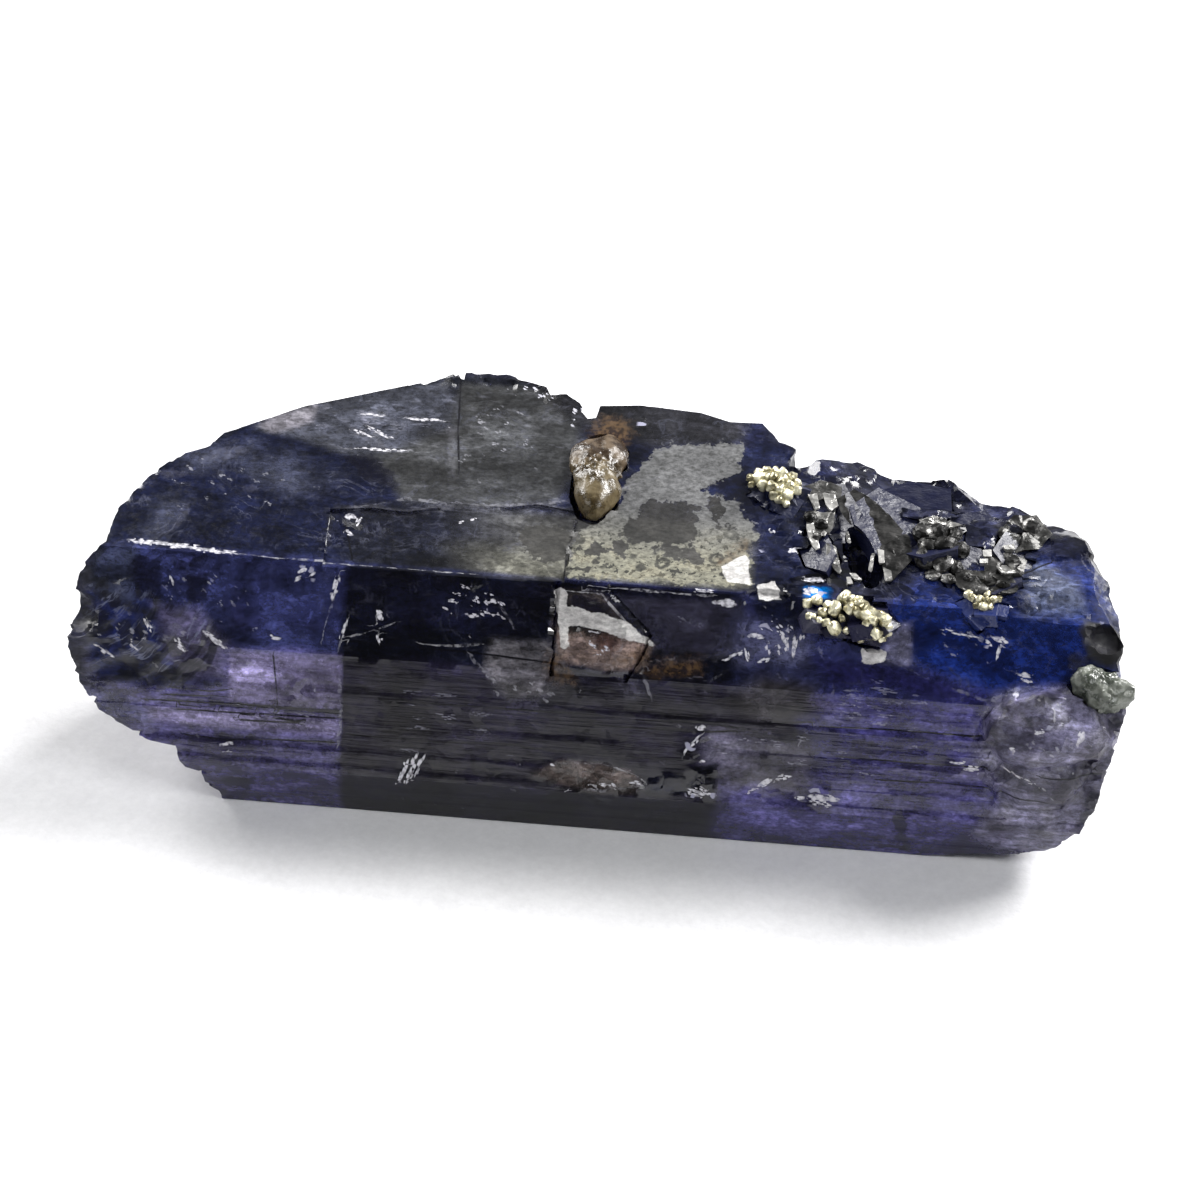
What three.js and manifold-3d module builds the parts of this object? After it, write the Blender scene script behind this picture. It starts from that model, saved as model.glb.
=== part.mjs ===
// Rough tanzanite: a stubby striated prism lying on one side, broken at both ends, with the mineral grains that grew
// into it. Millimetres. +X runs along the prism, -Y is its front, +Z is up. The origin is on the surface that it
// rests on, under the middle of its box.
import * as THREE from "three";
import { mergeVertices } from "three/addons/utils/BufferGeometryUtils.js";
import Module from "manifold-3d";

const wasm = await Module();
wasm.setup();

// Driving dimensions
const LENGTH = 25.7; // the prism before its ends are broken away
const TOP = 7.2; // highest edge of the prism, above the surface it rests on
const STATIONS = 13; // how often the prism's section changes along it
const SEAM = 0.06; // open joint between a grain and the socket it grew in
const STOCK = 30; // cutting bodies are this long, so that they always pass right through
const GOLDEN_ANGLE = 2.4; // radians between one cube of a cluster and the next, so that they spread evenly

const X = new THREE.Vector3(1, 0, 0);
const Y = new THREE.Vector3(0, 1, 0);
const Z = new THREE.Vector3(0, 0, 1);

// ---- Solids and meshes ----------------------------------------------------------------------------------------

// A closed three.js geometry as a manifold-3d solid.
function solidOf(geometry) {
  const bare = geometry.clone();
  bare.deleteAttribute("normal");
  bare.deleteAttribute("uv");
  const merged = mergeVertices(bare, 1e-5);
  return new wasm.Manifold(
    new wasm.Mesh({
      numProp: 3,
      vertProperties: new Float32Array(merged.attributes.position.array),
      triVerts: new Uint32Array(merged.index.array),
    }),
  );
}

// A manifold-3d solid as a three.js geometry.
function geometryOf(solid) {
  const { vertProperties, triVerts, numProp } = solid.getMesh();
  const count = vertProperties.length / numProp;
  const positions = new Float32Array(count * 3);
  for (let i = 0; i < count; i++) {
    positions.set(vertProperties.subarray(i * numProp, i * numProp + 3), i * 3);
  }
  const geometry = new THREE.BufferGeometry();
  geometry.setAttribute("position", new THREE.BufferAttribute(positions, 3));
  geometry.setIndex(new THREE.BufferAttribute(new Uint32Array(triVerts), 1));
  return geometry;
}

// A geometry made at the origin, turned, moved to its place and closed into a solid.
function placed(geometry, turn, place) {
  geometry.applyMatrix4(new THREE.Matrix4().makeRotationFromEuler(new THREE.Euler(...turn)));
  geometry.translate(...place);
  return solidOf(geometry);
}

// All the solids joined into one.
const joined = (solids) => solids.reduce((a, b) => a.add(b));

// The biggest connected body of a solid: a cut can leave crumbs, which fell off the real stone.
function biggest(solid) {
  return solid.decompose().reduce((a, b) => (a.volume() > b.volume() ? a : b));
}

// A repeatable random number from 0 to 1 for each whole number n.
function chance(n) {
  const s = Math.sin(n * 127.1 + 311.7) * 43758.5453;
  return s - Math.floor(s);
}

// An outline of points across and up, extruded along the third axis from start to end.
function extruded(outline, across, up, along, start, end, steps = 1) {
  const shape = new THREE.Shape(outline.map(([u, v]) => new THREE.Vector2(u, v)));
  const geometry = new THREE.ExtrudeGeometry(shape, { depth: end - start, steps, bevelEnabled: false });
  geometry.translate(0, 0, start);
  geometry.applyMatrix4(new THREE.Matrix4().makeBasis(across, up, along));
  return geometry;
}

// Everything on the far side of the plane through point, whose outward normal points that way.
function beyond(point, outward) {
  const slab = new THREE.BoxGeometry(STOCK, STOCK, STOCK);
  slab.translate(0, 0, STOCK / 2);
  const turn = new THREE.Quaternion().setFromUnitVectors(Z, new THREE.Vector3(...outward).normalize());
  slab.applyQuaternion(turn);
  slab.translate(...point);
  return solidOf(slab);
}

// A block whose lower face is hackly: it takes away a rough, splintery break. The lower face is at the block's
// origin and faces down before the turn.
function hackly(size, cells, relief, seed, turn, place) {
  const [width, depth, height] = size;
  const block = new THREE.BoxGeometry(width, depth, height, cells[0], cells[1], 1);
  block.translate(0, 0, height / 2);
  const p = block.attributes.position;
  for (let i = 0; i < p.count; i++) {
    if (p.getZ(i) > height / 2) continue;
    const column = Math.round((p.getX(i) / width + 0.5) * cells[0]);
    const row = Math.round((p.getY(i) / depth + 0.5) * cells[1]);
    const n = seed + column * 57 + row * 131;
    p.setXYZ(
      i,
      p.getX(i) + (chance(n + 1) - 0.5) * 0.5 * (width / cells[0]),
      p.getY(i) + (chance(n + 2) - 0.5) * 0.5 * (depth / cells[1]),
      (chance(n) - 0.5) * relief,
    );
  }
  return placed(block, turn, place);
}

// A shell-like bite with ripples: an ellipsoid ribbed round its own x axis.
function conchoidal(radii, ripples, depth, turn, place) {
  const bite = new THREE.SphereGeometry(1, 18, 12);
  const p = bite.attributes.position;
  for (let i = 0; i < p.count; i++) {
    const v = new THREE.Vector3().fromBufferAttribute(p, i);
    const swell = 1 + depth * Math.cos(ripples * Math.acos(THREE.MathUtils.clamp(v.x, -1, 1)));
    p.setXYZ(i, v.x * swell, v.y * swell, v.z * swell);
  }
  bite.scale(...radii);
  return placed(bite, turn, place);
}

// A four-sided needle of a cut, point down: size is its width, its depth and half its height.
function wedge([width, depth, height], turn, place) {
  const cut = new THREE.ConeGeometry(Math.SQRT1_2, 1, 4);
  cut.rotateY(Math.PI / 4);
  cut.rotateX(-Math.PI / 2);
  cut.scale(width, depth, 2 * height);
  return placed(cut, turn, place);
}

// A smooth lump with its own dents, grown by margin on all sides.
function lump(radii, dent, seed, turn, place, margin) {
  const body = new THREE.SphereGeometry(1, 14, 9);
  const p = body.attributes.position;
  const waves = [0, 1, 2, 3].map((k) => {
    const way = [seed + k, seed + 9 + k, seed + 17 + k].map((n) => chance(n) - 0.5);
    return new THREE.Vector3(...way).normalize().multiplyScalar(2.2 + k);
  });
  for (let i = 0; i < p.count; i++) {
    const v = new THREE.Vector3().fromBufferAttribute(p, i);
    const swell = 1 + waves.reduce((sum, w) => sum + dent * Math.sin(v.dot(w) * 2 + w.x * 5), 0);
    p.setXYZ(
      i,
      v.x * (radii[0] * swell + margin),
      v.y * (radii[1] * swell + margin),
      v.z * (radii[2] * swell + margin),
    );
  }
  return placed(body, turn, place);
}

// ---- The prism ------------------------------------------------------------------------------------------------

// Points from a towards b, b left out. At each share of the way the face steps inwards and then runs back out, as
// growth striae do. The inside of the section lies to the right of the way. Each point keeps how far it may sink.
function striated(a, b, striae) {
  const way = new THREE.Vector2(...b).sub(new THREE.Vector2(...a));
  const run = way.length();
  way.normalize();
  const inward = new THREE.Vector2(way.y, -way.x);
  const at = (along) => new THREE.Vector2(...a).addScaledVector(way, along);
  const points = [{ at: new THREE.Vector2(...a), inward, sinks: 0 }];
  for (const [share, step] of striae) {
    points.push({ at: at(share * run), inward, sinks: step === 0 ? 0.05 : 0 });
    if (step > 0) points.push({ at: at(share * run + 0.3 * step), inward, sinks: step });
  }
  return points;
}

// The prism's section across X, from the front foot up and over. Each stria is a share of the face's height and how
// far it sinks at its deepest; a depth of 0 is only a place where the face bends a little.
const corners = {
  frontFoot: [-2.85, 0],
  frontHeel: [-3.15, 1.4],
  frontShoulder: [-2.1, 4.25],
  ridge: [-0.68, 5.95],
  backBrow: [5.76, TOP],
  backShoulder: [6.2, 5.4],
  backHeel: [5.3, 2.0],
  backFoot: [4.0, 0],
};
const section = [
  ...striated(corners.frontFoot, corners.frontHeel, [[0.35, 0.08], [0.68, 0.07]]),
  ...striated(corners.frontHeel, corners.frontShoulder, [
    [0.06, 0.16],
    [0.2, 0.09],
    [0.33, 0.07],
    [0.45, 0.17],
    [0.56, 0.09],
    [0.7, 0.2],
    [0.84, 0.08],
  ]),
  ...striated(corners.frontShoulder, corners.ridge, [[0.04, 0.1], [0.45, 0], [0.9, 0.07]]),
  ...striated(corners.ridge, corners.backBrow, [[0.25, 0], [0.6, 0]]),
  ...striated(corners.backBrow, corners.backShoulder, [[0.5, 0.14]]),
  ...striated(corners.backShoulder, corners.backHeel, [[0.14, 0.16], [0.42, 0.2], [0.66, 0.1], [0.84, 0.16]]),
  ...striated(corners.backHeel, corners.backFoot, [[0.5, 0.12]]),
  ...striated(corners.backFoot, corners.frontFoot, []),
];

// The prism itself. Along it, its striae deepen, fade and wander, and its broad faces bend a little.
function prism() {
  const outline = section.map(({ at }) => at.toArray());
  const body = extruded(outline, Y, Z, X, -LENGTH / 2, LENGTH / 2, STATIONS);
  const p = body.attributes.position;
  for (let i = 0; i < p.count; i++) {
    const station = Math.round((p.getX(i) / LENGTH + 0.5) * STATIONS);
    const here = new THREE.Vector2(p.getY(i), p.getZ(i));
    const k = section.findIndex(({ at }) => at.distanceTo(here) < 1e-4);
    const sunk = section[k].sinks * (0.15 + 1.1 * chance(station * 31 + k * 7));
    p.setXYZ(i, p.getX(i), here.x + section[k].inward.x * sunk, here.y + section[k].inward.y * sunk);
  }
  return solidOf(body);
}

// The outline seen from above: the back edge is a run of broken humps, the ends are ragged.
const plan = [
  [-12.62, -1.9],
  [-12.3, -1.0],
  [-11.8, -0.55],
  [-11.72, 0.6],
  [-11.25, 1.65],
  [-10.5, 2.45],
  [-9.9, 2.75],
  [-9.55, 3.35],
  [-8.65, 3.95],
  [-7.45, 4.4],
  [-6.0, 4.95],
  [-5.05, 5.3],
  [-4.3, 5.62],
  [-3.85, 5.74],
  [-2.85, 5.74],
  [-1.95, 5.5],
  [-1.75, 5.2],
  [-1.35, 5.25],
  [-1.0, 5.0],
  [-0.72, 4.5],
  [-0.52, 4.55],
  [-0.48, 4.95],
  [0.55, 5.05],
  [2.05, 4.95],
  [2.8, 4.72],
  [3.6, 4.75],
  [4.1, 4.2],
  [4.6, 3.9],
  [6.0, 4.4],
  [8.2, 3.75],
  [10.0, 3.05],
  [11.3, 2.3],
  [12.15, 0.9],
  [12.5, -0.2],
  [12.62, -1.0],
  [12.45, -1.3],
  [12.75, -1.9],
  [12.7, -2.4],
  [12.1, -4.0],
  [-12.2, -4.0],
];

// The outline seen from the front: the left end hangs clear of the surface and climbs in steps.
const elevation = [
  [-8.8, -1],
  [-8.95, 0.3],
  [-9.25, 0.55],
  [-9.35, 1.05],
  [-9.75, 1.2],
  [-9.9, 1.75],
  [-10.6, 1.85],
  [-11.1, 2.1],
  [-11.85, 2.5],
  [-12.4, 3.4],
  [-12.62, 4.5],
  [-12.3, 5.6],
  [-11.6, 6.3],
  [-10.6, 7.6],
  [11.4, 7.6],
  [12.0, 6.3],
  [12.6, 5.3],
  [12.45, 4.9],
  [12.75, 4.3],
  [12.5, 3.1],
  [12.3, 2.1],
  [11.9, 1.3],
  [11.2, 0.6],
  [10.4, 0.34],
  [9.3, 0.2],
  [8.3, -0.02],
  [8.2, -1],
];

// The paler, frosted knobs that swell from the lower right end.
const knobs = [
  { radii: [1.7, 1.1, 1.3], dent: 0.03, seed: 21, turn: [0.1, 0.12, 0.05], at: [11.05, -1.95, 3.5] },
  { radii: [1.6, 1.0, 1.5], dent: 0.035, seed: 33, turn: [0, 0.4, 0.05], at: [10.9, -2.25, 2.2] },
];

// The striated prism within its ragged outlines, with its knobs, before anything breaks off.
function blank() {
  const fromAbove = solidOf(extruded(plan, X, Y, Z, -STOCK / 2, STOCK / 2));
  const fromFront = solidOf(extruded(elevation, X, Z, Y.clone().negate(), -STOCK / 2, STOCK / 2));
  const frosted = knobs.map(({ radii, dent, seed, turn, at }) => lump(radii, dent, seed, turn, at, 0));
  return joined([prism(), ...frosted]).intersect(fromAbove).intersect(fromFront);
}

// Flat cleavage breaks: a point on each and the way that it faces.
const cleavages = [
  { at: [-12.2, 0, 5.6], facing: [-1, 0.15, 0.5] },
  { at: [-11.6, 1.2, 2.6], facing: [-0.9, 0.2, -0.55] },
  { at: [-10.3, 3.4, 2.2], facing: [-0.6, 0.7, -0.5] },
  { at: [-9.4, 3.5, 5.4], facing: [-0.5, 0.85, 0.1] },
  { at: [12.25, 2.0, 4.6], facing: [0.85, 0.65, 0.1] },
  { at: [12.2, 0.4, 2.4], facing: [0.9, 0.2, -0.5] },
  { at: [11.4, 2.6, 1.4], facing: [0.6, 0.6, -0.6] },
  { at: [9.6, -0.75, 5.83], facing: [0.09, -0.42, 0.9] },
  { at: [12.75, -2, 2.9], facing: [1, -0.1, -0.16] },
];

// A cut drawn as an outline on one of the prism's faces: origin is a point on the face, up runs up the face across
// the prism, and the cut goes sunk deep, leaning by lean.
function recess(outline, origin, up, sunk, lean = [0, 0, 0]) {
  const out = new THREE.Vector3().crossVectors(X, up);
  return placed(extruded(outline, X, up, out, -sunk, 2), lean, origin);
}

const upFace = (a, b) => new THREE.Vector3(0, b[0] - a[0], b[1] - a[1]).normalize();
const upTop = upFace(corners.ridge, corners.backBrow);
const upBrow = upFace(corners.frontShoulder, corners.ridge);

// The strip along the ridge that lies a little lower than the top face, with a ragged back edge.
const strip = [
  [-6.4, -1.4],
  [-0.7, -1.4],
  [-0.6, 2.2],
  [-1.6, 2.35],
  [-2.6, 2.1],
  [-3.7, 2.1],
  [-4.7, 1.8],
  [-5.6, 1.85],
  [-6.6, 1.7],
];

// The angular chip out of the dark front face under the ridge.
const chip = [
  [-0.75, -2.35],
  [1.1, -2.3],
  [1.6, -1.1],
  [0.5, -0.15],
  [-0.8, -0.1],
];

// Shell-like bites: radii, ripples, their depth, turn and place. First the rippled breaks at the left end, then the
// nicks along the ridge and in the striated face, and last the round pit near the right end.
const bites = [
  [[2.2, 1.0, 1.15], 7, 0.03, [0.35, 0.16, -0.2], [-10.6, -3.1, 4.1]],
  [[0.8, 0.7, 0.5], 5, 0.03, [0.2, 0.5, 0.5], [-12.6, -1.9, 4.75]],
  [[0.9, 0.5, 0.5], 5, 0.04, [0.2, 0.3, 0.2], [-11.4, -3.15, 2.75]],
  [[0.55, 0.3, 0.3], 3, 0.04, [0, 0.2, 0.1], [-3.4, -1.1, 5.75]],
  [[0.9, 0.5, 0.4], 4, 0.04, [0.4, 0, 0.2], [4.1, -1.0, 5.9]],
  [[1.1, 0.4, 0.5], 4, 0.03, [0.2, 0.1, 0.1], [0.3, -3.2, 1.85]],
  [[0.9, 0.4, 0.4], 4, 0.03, [0.2, 0.1, -0.1], [4.6, -3.2, 1.9]],
  [[0.4, 0.4, 0.32], 2, 0.03, [0.3, 0.5, 0], [12.2, -0.85, 5.5]],
];

// Hackly breaks: size, cells, relief, seed, turn and place. The top right, where the graphite lies, the right end,
// and the two halves of the splintery back.
const splinters = [
  [[8.6, 4.8, 3], [11, 6], 0.5, 11, [-0.13, 0.045, -0.12], [8.7, 2.85, 6.3]],
  [[3.2, 3.4, 3], [4, 4], 0.35, 61, [0.1, 0.62, 0.3], [12.3, 0.6, 5.75]],
  [[9, 5, 3], [8, 5], 0.45, 23, [-1.5, 0, -0.1], [7.0, 4.9, 3.2]],
  [[7, 4, 3], [6, 4], 0.45, 37, [-1.85, 0, 0.16], [-6.5, 5.3, 2.9]],
];

// Cracks that reach the back of the top face: size, turn and place.
const cracks = [
  [[0.4, 1.7, 1.3], [0, 0, -0.1], [-4.02, 5.9, 7.3]],
  [[0.3, 1.2, 1.2], [0, 0, 0.2], [-0.62, 5.1, 7.25]],
];

// The deep hole between the graphite flakes, wider in the crystal than in the graphite.
const holeInCrystal = () => conchoidal([0.42, 1.0, 0.95], 3, 0.05, [0, 0, 0.35], [6.35, 0.75, 6.15]);
const holeInGraphite = () => conchoidal([0.3, 0.85, 0.9], 3, 0.05, [0, 0, 0.35], [6.3, 0.75, 6.3]);

// Everything that broke off, as closed bodies to take away.
function breaks() {
  return joined([
    ...cleavages.map(({ at, facing }) => beyond(at, facing)),
    ...bites.map((bite) => conchoidal(...bite)),
    ...splinters.map((splinter) => hackly(...splinter)),
    ...cracks.map((crack) => wedge(...crack)),
    recess(strip, [0, ...corners.ridge], upTop, 0.1),
    recess(chip, [0, ...corners.ridge], upBrow, 0.12, [0.06, 0.05, 0]),
    holeInCrystal(),
  ]);
}

// ---- The grains that grew into it -----------------------------------------------------------------------------

// The honey-coloured grain that lies in the top face, thicker at the back.
function amberGrain(margin) {
  const low = lump([0.56, 1.15, 0.5], 0.03, 3, [0.16, 0, 0.02], [-0.28, 2.25, 6.52], margin);
  const high = lump([0.68, 0.8, 0.55], 0.04, 8, [0.1, 0.1, -0.2], [-0.28, 3.2, 6.72], margin);
  return low.add(high);
}

// The grey-green grain at the right end, above the frosted knobs.
function greenGrain(margin) {
  return lump([0.78, 0.5, 0.52], 0.05, 45, [0.1, 0.25, 0.1], [12.15, -1.75, 4.72], margin);
}

// A cluster of pyrite: small tilted cubes packed in an oval patch and grown through each other.
function pyrite(center, radii, count, edge, seed, margin) {
  const cubes = [];
  for (let i = 0; i < count; i++) {
    const angle = i * GOLDEN_ANGLE;
    const reach = Math.sqrt((i + 0.3) / count);
    const size = edge * (0.75 + 0.6 * chance(seed + i)) + 2 * margin;
    const turn = [40, 70, 90].map((offset) => 3 * chance(seed + offset + i));
    const place = [
      center[0] + radii[0] * reach * Math.cos(angle),
      center[1] + radii[1] * reach * Math.sin(angle),
      center[2] + radii[2] * (chance(seed + 20 + i) - 0.5),
    ];
    cubes.push(placed(new THREE.BoxGeometry(size, size, size * 0.9), turn, place));
  }
  return joined(cubes);
}

const pyriteUpper = (margin) => pyrite([4.15, 2.6, 6.45], [0.5, 0.34, 0.2], 11, 0.46, 5, margin);
const pyriteLower = (margin) => pyrite([6.1, -0.95, 5.52], [0.85, 0.3, 0.4], 14, 0.46, 31, margin);
const pyriteRight = (margin) => pyrite([9.35, -0.45, 5.78], [0.42, 0.3, 0.2], 8, 0.4, 57, margin);

// One graphite flake: an uneven six-sided plate, thin, and tilted.
function flake(place, [long, wide, thick], turn, margin) {
  const plate = new THREE.CylinderGeometry(0.5, 0.46, 1, 6);
  plate.rotateX(Math.PI / 2);
  plate.scale(long + 2 * margin, wide + 2 * margin, thick + 2 * margin);
  return placed(plate, turn, place);
}

// The graphite at the top right: overlapping flakes, each with its centre, its size and its turn.
const flakes = [
  [[6.9, 1.75, 6.15], [2.1, 2.6, 0.5], [0.12, 0.22, 0.3]],
  [[5.6, 2.2, 6.15], [1.5, 2.3, 0.45], [0.3, -0.5, 0.5]],
  [[5.3, 0.9, 6.0], [0.9, 1.9, 0.5], [0.1, -0.35, 0.35]],
  [[8.0, 1.3, 6.0], [1.7, 1.9, 0.55], [-0.3, -0.2, -0.2]],
  [[8.7, 0.75, 5.9], [1.5, 1.5, 0.5], [0.35, 0.3, 0.5]],
  [[9.5, 0.35, 5.85], [1.6, 1.3, 0.45], [-0.1, -0.25, 0.1]],
  [[10.1, 1.2, 5.95], [1.7, 1.5, 0.5], [0.2, 0.35, -0.4]],
  [[8.9, 1.9, 6.0], [1.8, 1.5, 0.4], [0.3, 0.1, 0.8]],
  [[7.4, 2.9, 6.1], [2.3, 1.3, 0.45], [0.35, -0.1, 0.1]],
];

function graphite(margin) {
  return joined(flakes.map(([place, size, turn]) => flake(place, size, turn, margin)));
}

// ---- Putting it together --------------------------------------------------------------------------------------

// Each grain takes its socket, an even seam wider than itself, out of what it grew in.
const pyriteSockets = joined([pyriteUpper(SEAM), pyriteLower(SEAM), pyriteRight(SEAM)]);
const sockets = joined([amberGrain(SEAM), greenGrain(SEAM), graphite(SEAM), pyriteSockets]);

const looks = {
  tanzanite: { color: 0x2c2f63, roughness: 0.18, metalness: 0, transparent: true, opacity: 0.8 },
  amber: { color: 0x8f7350, roughness: 0.25, metalness: 0 },
  green: { color: 0x6d7566, roughness: 0.35, metalness: 0 },
  graphite: { color: 0x33322f, roughness: 0.3, metalness: 0.8 },
  pyrite: { color: 0xc2b184, roughness: 0.25, metalness: 1 },
};

const tanzanite = new THREE.Group();

function place(name, solid, look) {
  const mesh = new THREE.Mesh(geometryOf(biggest(solid)), new THREE.MeshStandardMaterial(looks[look]));
  mesh.name = name;
  tanzanite.add(mesh);
}

place("tanzanite_crystal", blank().subtract(breaks()).subtract(sockets), "tanzanite");
place("amber_grain", amberGrain(0), "amber");
place("green_grain", greenGrain(0), "green");
place("graphite_flakes", graphite(0).subtract(pyriteSockets).subtract(holeInGraphite()), "graphite");
place("pyrite_upper", pyriteUpper(0), "pyrite");
place("pyrite_lower", pyriteLower(0), "pyrite");
place("pyrite_right", pyriteRight(0), "pyrite");

// The origin goes under the middle of the whole stone's box, on the surface that it rests on.
const box = new THREE.Box3().setFromObject(tanzanite);
const middle = box.getCenter(new THREE.Vector3());
tanzanite.position.set(-middle.x, -middle.y, -box.min.z);

export default tanzanite;
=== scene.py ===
# %% [markdown]
# # A rough tanzanite crystal
# The part is one striated, broken prism of tanzanite with four small guests grown into its top: a
# honey-coloured grain, a grey-green grain, a nest of graphite flakes and three clusters of pyrite. The
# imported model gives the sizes. This script gives every piece its real surface and finish, and then lights
# and frames it.

import bpy
import numpy as np
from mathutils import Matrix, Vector


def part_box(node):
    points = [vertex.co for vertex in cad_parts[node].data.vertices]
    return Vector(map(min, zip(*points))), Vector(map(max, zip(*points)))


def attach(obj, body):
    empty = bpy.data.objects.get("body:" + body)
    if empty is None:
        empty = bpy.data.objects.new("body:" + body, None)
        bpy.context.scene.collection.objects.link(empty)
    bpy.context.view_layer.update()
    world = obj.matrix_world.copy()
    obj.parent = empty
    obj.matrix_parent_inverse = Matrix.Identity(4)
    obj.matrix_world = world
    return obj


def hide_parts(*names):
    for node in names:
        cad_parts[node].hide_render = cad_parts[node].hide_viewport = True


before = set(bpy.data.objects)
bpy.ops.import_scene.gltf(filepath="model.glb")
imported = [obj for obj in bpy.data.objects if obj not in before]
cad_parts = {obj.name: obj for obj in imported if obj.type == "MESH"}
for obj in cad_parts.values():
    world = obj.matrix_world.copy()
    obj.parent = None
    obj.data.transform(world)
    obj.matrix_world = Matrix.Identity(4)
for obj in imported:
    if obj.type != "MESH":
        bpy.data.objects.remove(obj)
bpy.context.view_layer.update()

MM = 0.001

# %% [markdown]
# ## Camera
# A stone this small is looked at from close by with a long lens, so that its long edges stay nearly
# parallel. The camera looks down at 39 degrees and stands a little to the right. Its place is worked out
# from those two angles, the spot it aims at and its distance, so each can be changed on its own.

# %% Camera
AZIMUTH = np.radians(6.8)
ELEVATION = np.radians(39.0)
AIM = np.array([-0.185, -0.244, 4.04])
DISTANCE = 81.7
FOCAL_LENGTH = 100
SENSOR_WIDTH = 36
look = np.array([
    -np.sin(AZIMUTH) * np.cos(ELEVATION),
    np.cos(AZIMUTH) * np.cos(ELEVATION),
    -np.sin(ELEVATION),
])
camera_data = bpy.data.cameras.new("camera")
camera_data.lens = FOCAL_LENGTH
camera_data.sensor_width = SENSOR_WIDTH
camera_data.clip_start = 0.005
camera_data.clip_end = 10
camera = bpy.data.objects.new("camera", camera_data)
camera.location = (AIM - look * DISTANCE) * MM
camera.rotation_euler = Vector(look).to_track_quat("-Z", "Y").to_euler()
bpy.context.scene.collection.objects.link(camera)
bpy.context.scene.camera = camera
print("camera at, mm:", np.round(AIM - look * DISTANCE, 1))

# %% [markdown]
# ## Helpers for finishes
# Every finish here is a small network of shader nodes: noise, steps, products and blends. These helpers
# add one such node each, so a finish reads as a list of what lies on the surface.

# %% Node helpers
def add(tree, kind, inputs=None, **settings):
    """Adds a node, sets it up, and links or fills its inputs, by name or number."""
    node = tree.nodes.new(kind)
    for name, value in settings.items():
        setattr(node, name, value)
    for name, value in (inputs or {}).items():
        if isinstance(value, bpy.types.NodeSocket):
            tree.links.new(value, node.inputs[name])
        else:
            node.inputs[name].default_value = value
    return node


def maths(tree, operation, a, b=0.0, clamp=False):
    """One step of arithmetic on two numbers."""
    return add(tree, "ShaderNodeMath", {0: a, 1: b}, operation=operation, use_clamp=clamp).outputs[0]


def fade(tree, value, start, end, low=0.0, high=1.0):
    """A smooth step: low where the value is under start, high where it is over end."""
    return add(
        tree,
        "ShaderNodeMapRange",
        {"Value": value, "From Min": start, "From Max": end, "To Min": low, "To Max": high},
        interpolation_type="SMOOTHSTEP",
    ).outputs[0]


def blend(tree, factor, first, second, mode="MIX"):
    """Mixes two colours."""
    node = add(tree, "ShaderNodeMix", {0: factor}, data_type="RGBA", blend_type=mode)
    for socket, value in ((node.inputs[6], first), (node.inputs[7], second)):
        if isinstance(value, bpy.types.NodeSocket):
            tree.links.new(value, socket)
        else:
            socket.default_value = (*value[:3], 1.0)
    return node.outputs[2]


def in_mm(tree, scale=(1, 1, 1)):
    """Object coordinates in millimetres, stretched by a Mapping node."""
    place = add(tree, "ShaderNodeTexCoord").outputs["Object"]
    size = tuple(1000 * part for part in scale)
    return add(tree, "ShaderNodeMapping", {0: place, "Scale": size}).outputs[0]


def grain(tree, where, scale, detail=3.0, rough=0.55, warp=0.0):
    """Cloudy noise from 0 to 1; a higher scale is finer."""
    node = add(
        tree,
        "ShaderNodeTexNoise",
        {"Vector": where, "Scale": scale, "Detail": detail, "Roughness": rough, "Distortion": warp},
    )
    return node.outputs[0]


def new_material(name):
    """An empty material, its tree, its Principled shader and its output."""
    material = bpy.data.materials.new(name)
    material.use_nodes = True
    tree = material.node_tree
    tree.nodes.clear()
    output = add(tree, "ShaderNodeOutputMaterial")
    shader = add(tree, "ShaderNodeBsdfPrincipled")
    tree.links.new(shader.outputs[0], output.inputs["Surface"])
    return material, tree, shader, output


print("node helpers ready")

# %% [markdown]
# ## Paper
# The stone lies on a sheet of white drawing paper. A flat square far larger than the view stands in for
# it, with two sizes of faint mottling and a shallow tooth. It lies a hair below the stone's rest face, so
# that the two don't flicker into each other.

# %% Paper
PAPER_REACH = 1
PAPER_LEVEL = -2e-5
paper_mesh = bpy.data.meshes.new("paper")
paper_corners = [
    (side_x * PAPER_REACH, side_y * PAPER_REACH, PAPER_LEVEL)
    for side_x, side_y in ((-1, -1), (1, -1), (1, 1), (-1, 1))
]
paper_mesh.from_pydata(paper_corners, [], [(0, 1, 2, 3)])
paper = bpy.data.objects.new("paper", paper_mesh)
bpy.context.scene.collection.objects.link(paper)
paper_finish, tree, shader, _ = new_material("white paper")
fibre = grain(tree, in_mm(tree), 0.9, 5.0, 0.65)
tooth = grain(tree, in_mm(tree), 4.5, 3.0, 0.7)
mottling = maths(tree, "MULTIPLY", maths(tree, "ADD", fibre, tooth), 0.5)
paper_colour = blend(tree, mottling, (0.68, 0.68, 0.69), (0.96, 0.96, 0.97))
tree.links.new(paper_colour, shader.inputs["Base Color"])
shader.inputs["Roughness"].default_value = 0.9
shader.inputs["Specular IOR Level"].default_value = 0.2
bump = add(tree, "ShaderNodeBump", {"Height": fibre, "Strength": 0.25, "Distance": 0.0002})
tree.links.new(bump.outputs[0], shader.inputs["Normal"])
paper_mesh.materials.append(paper_finish)
print("paper", 2 * PAPER_REACH, "m square")
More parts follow.
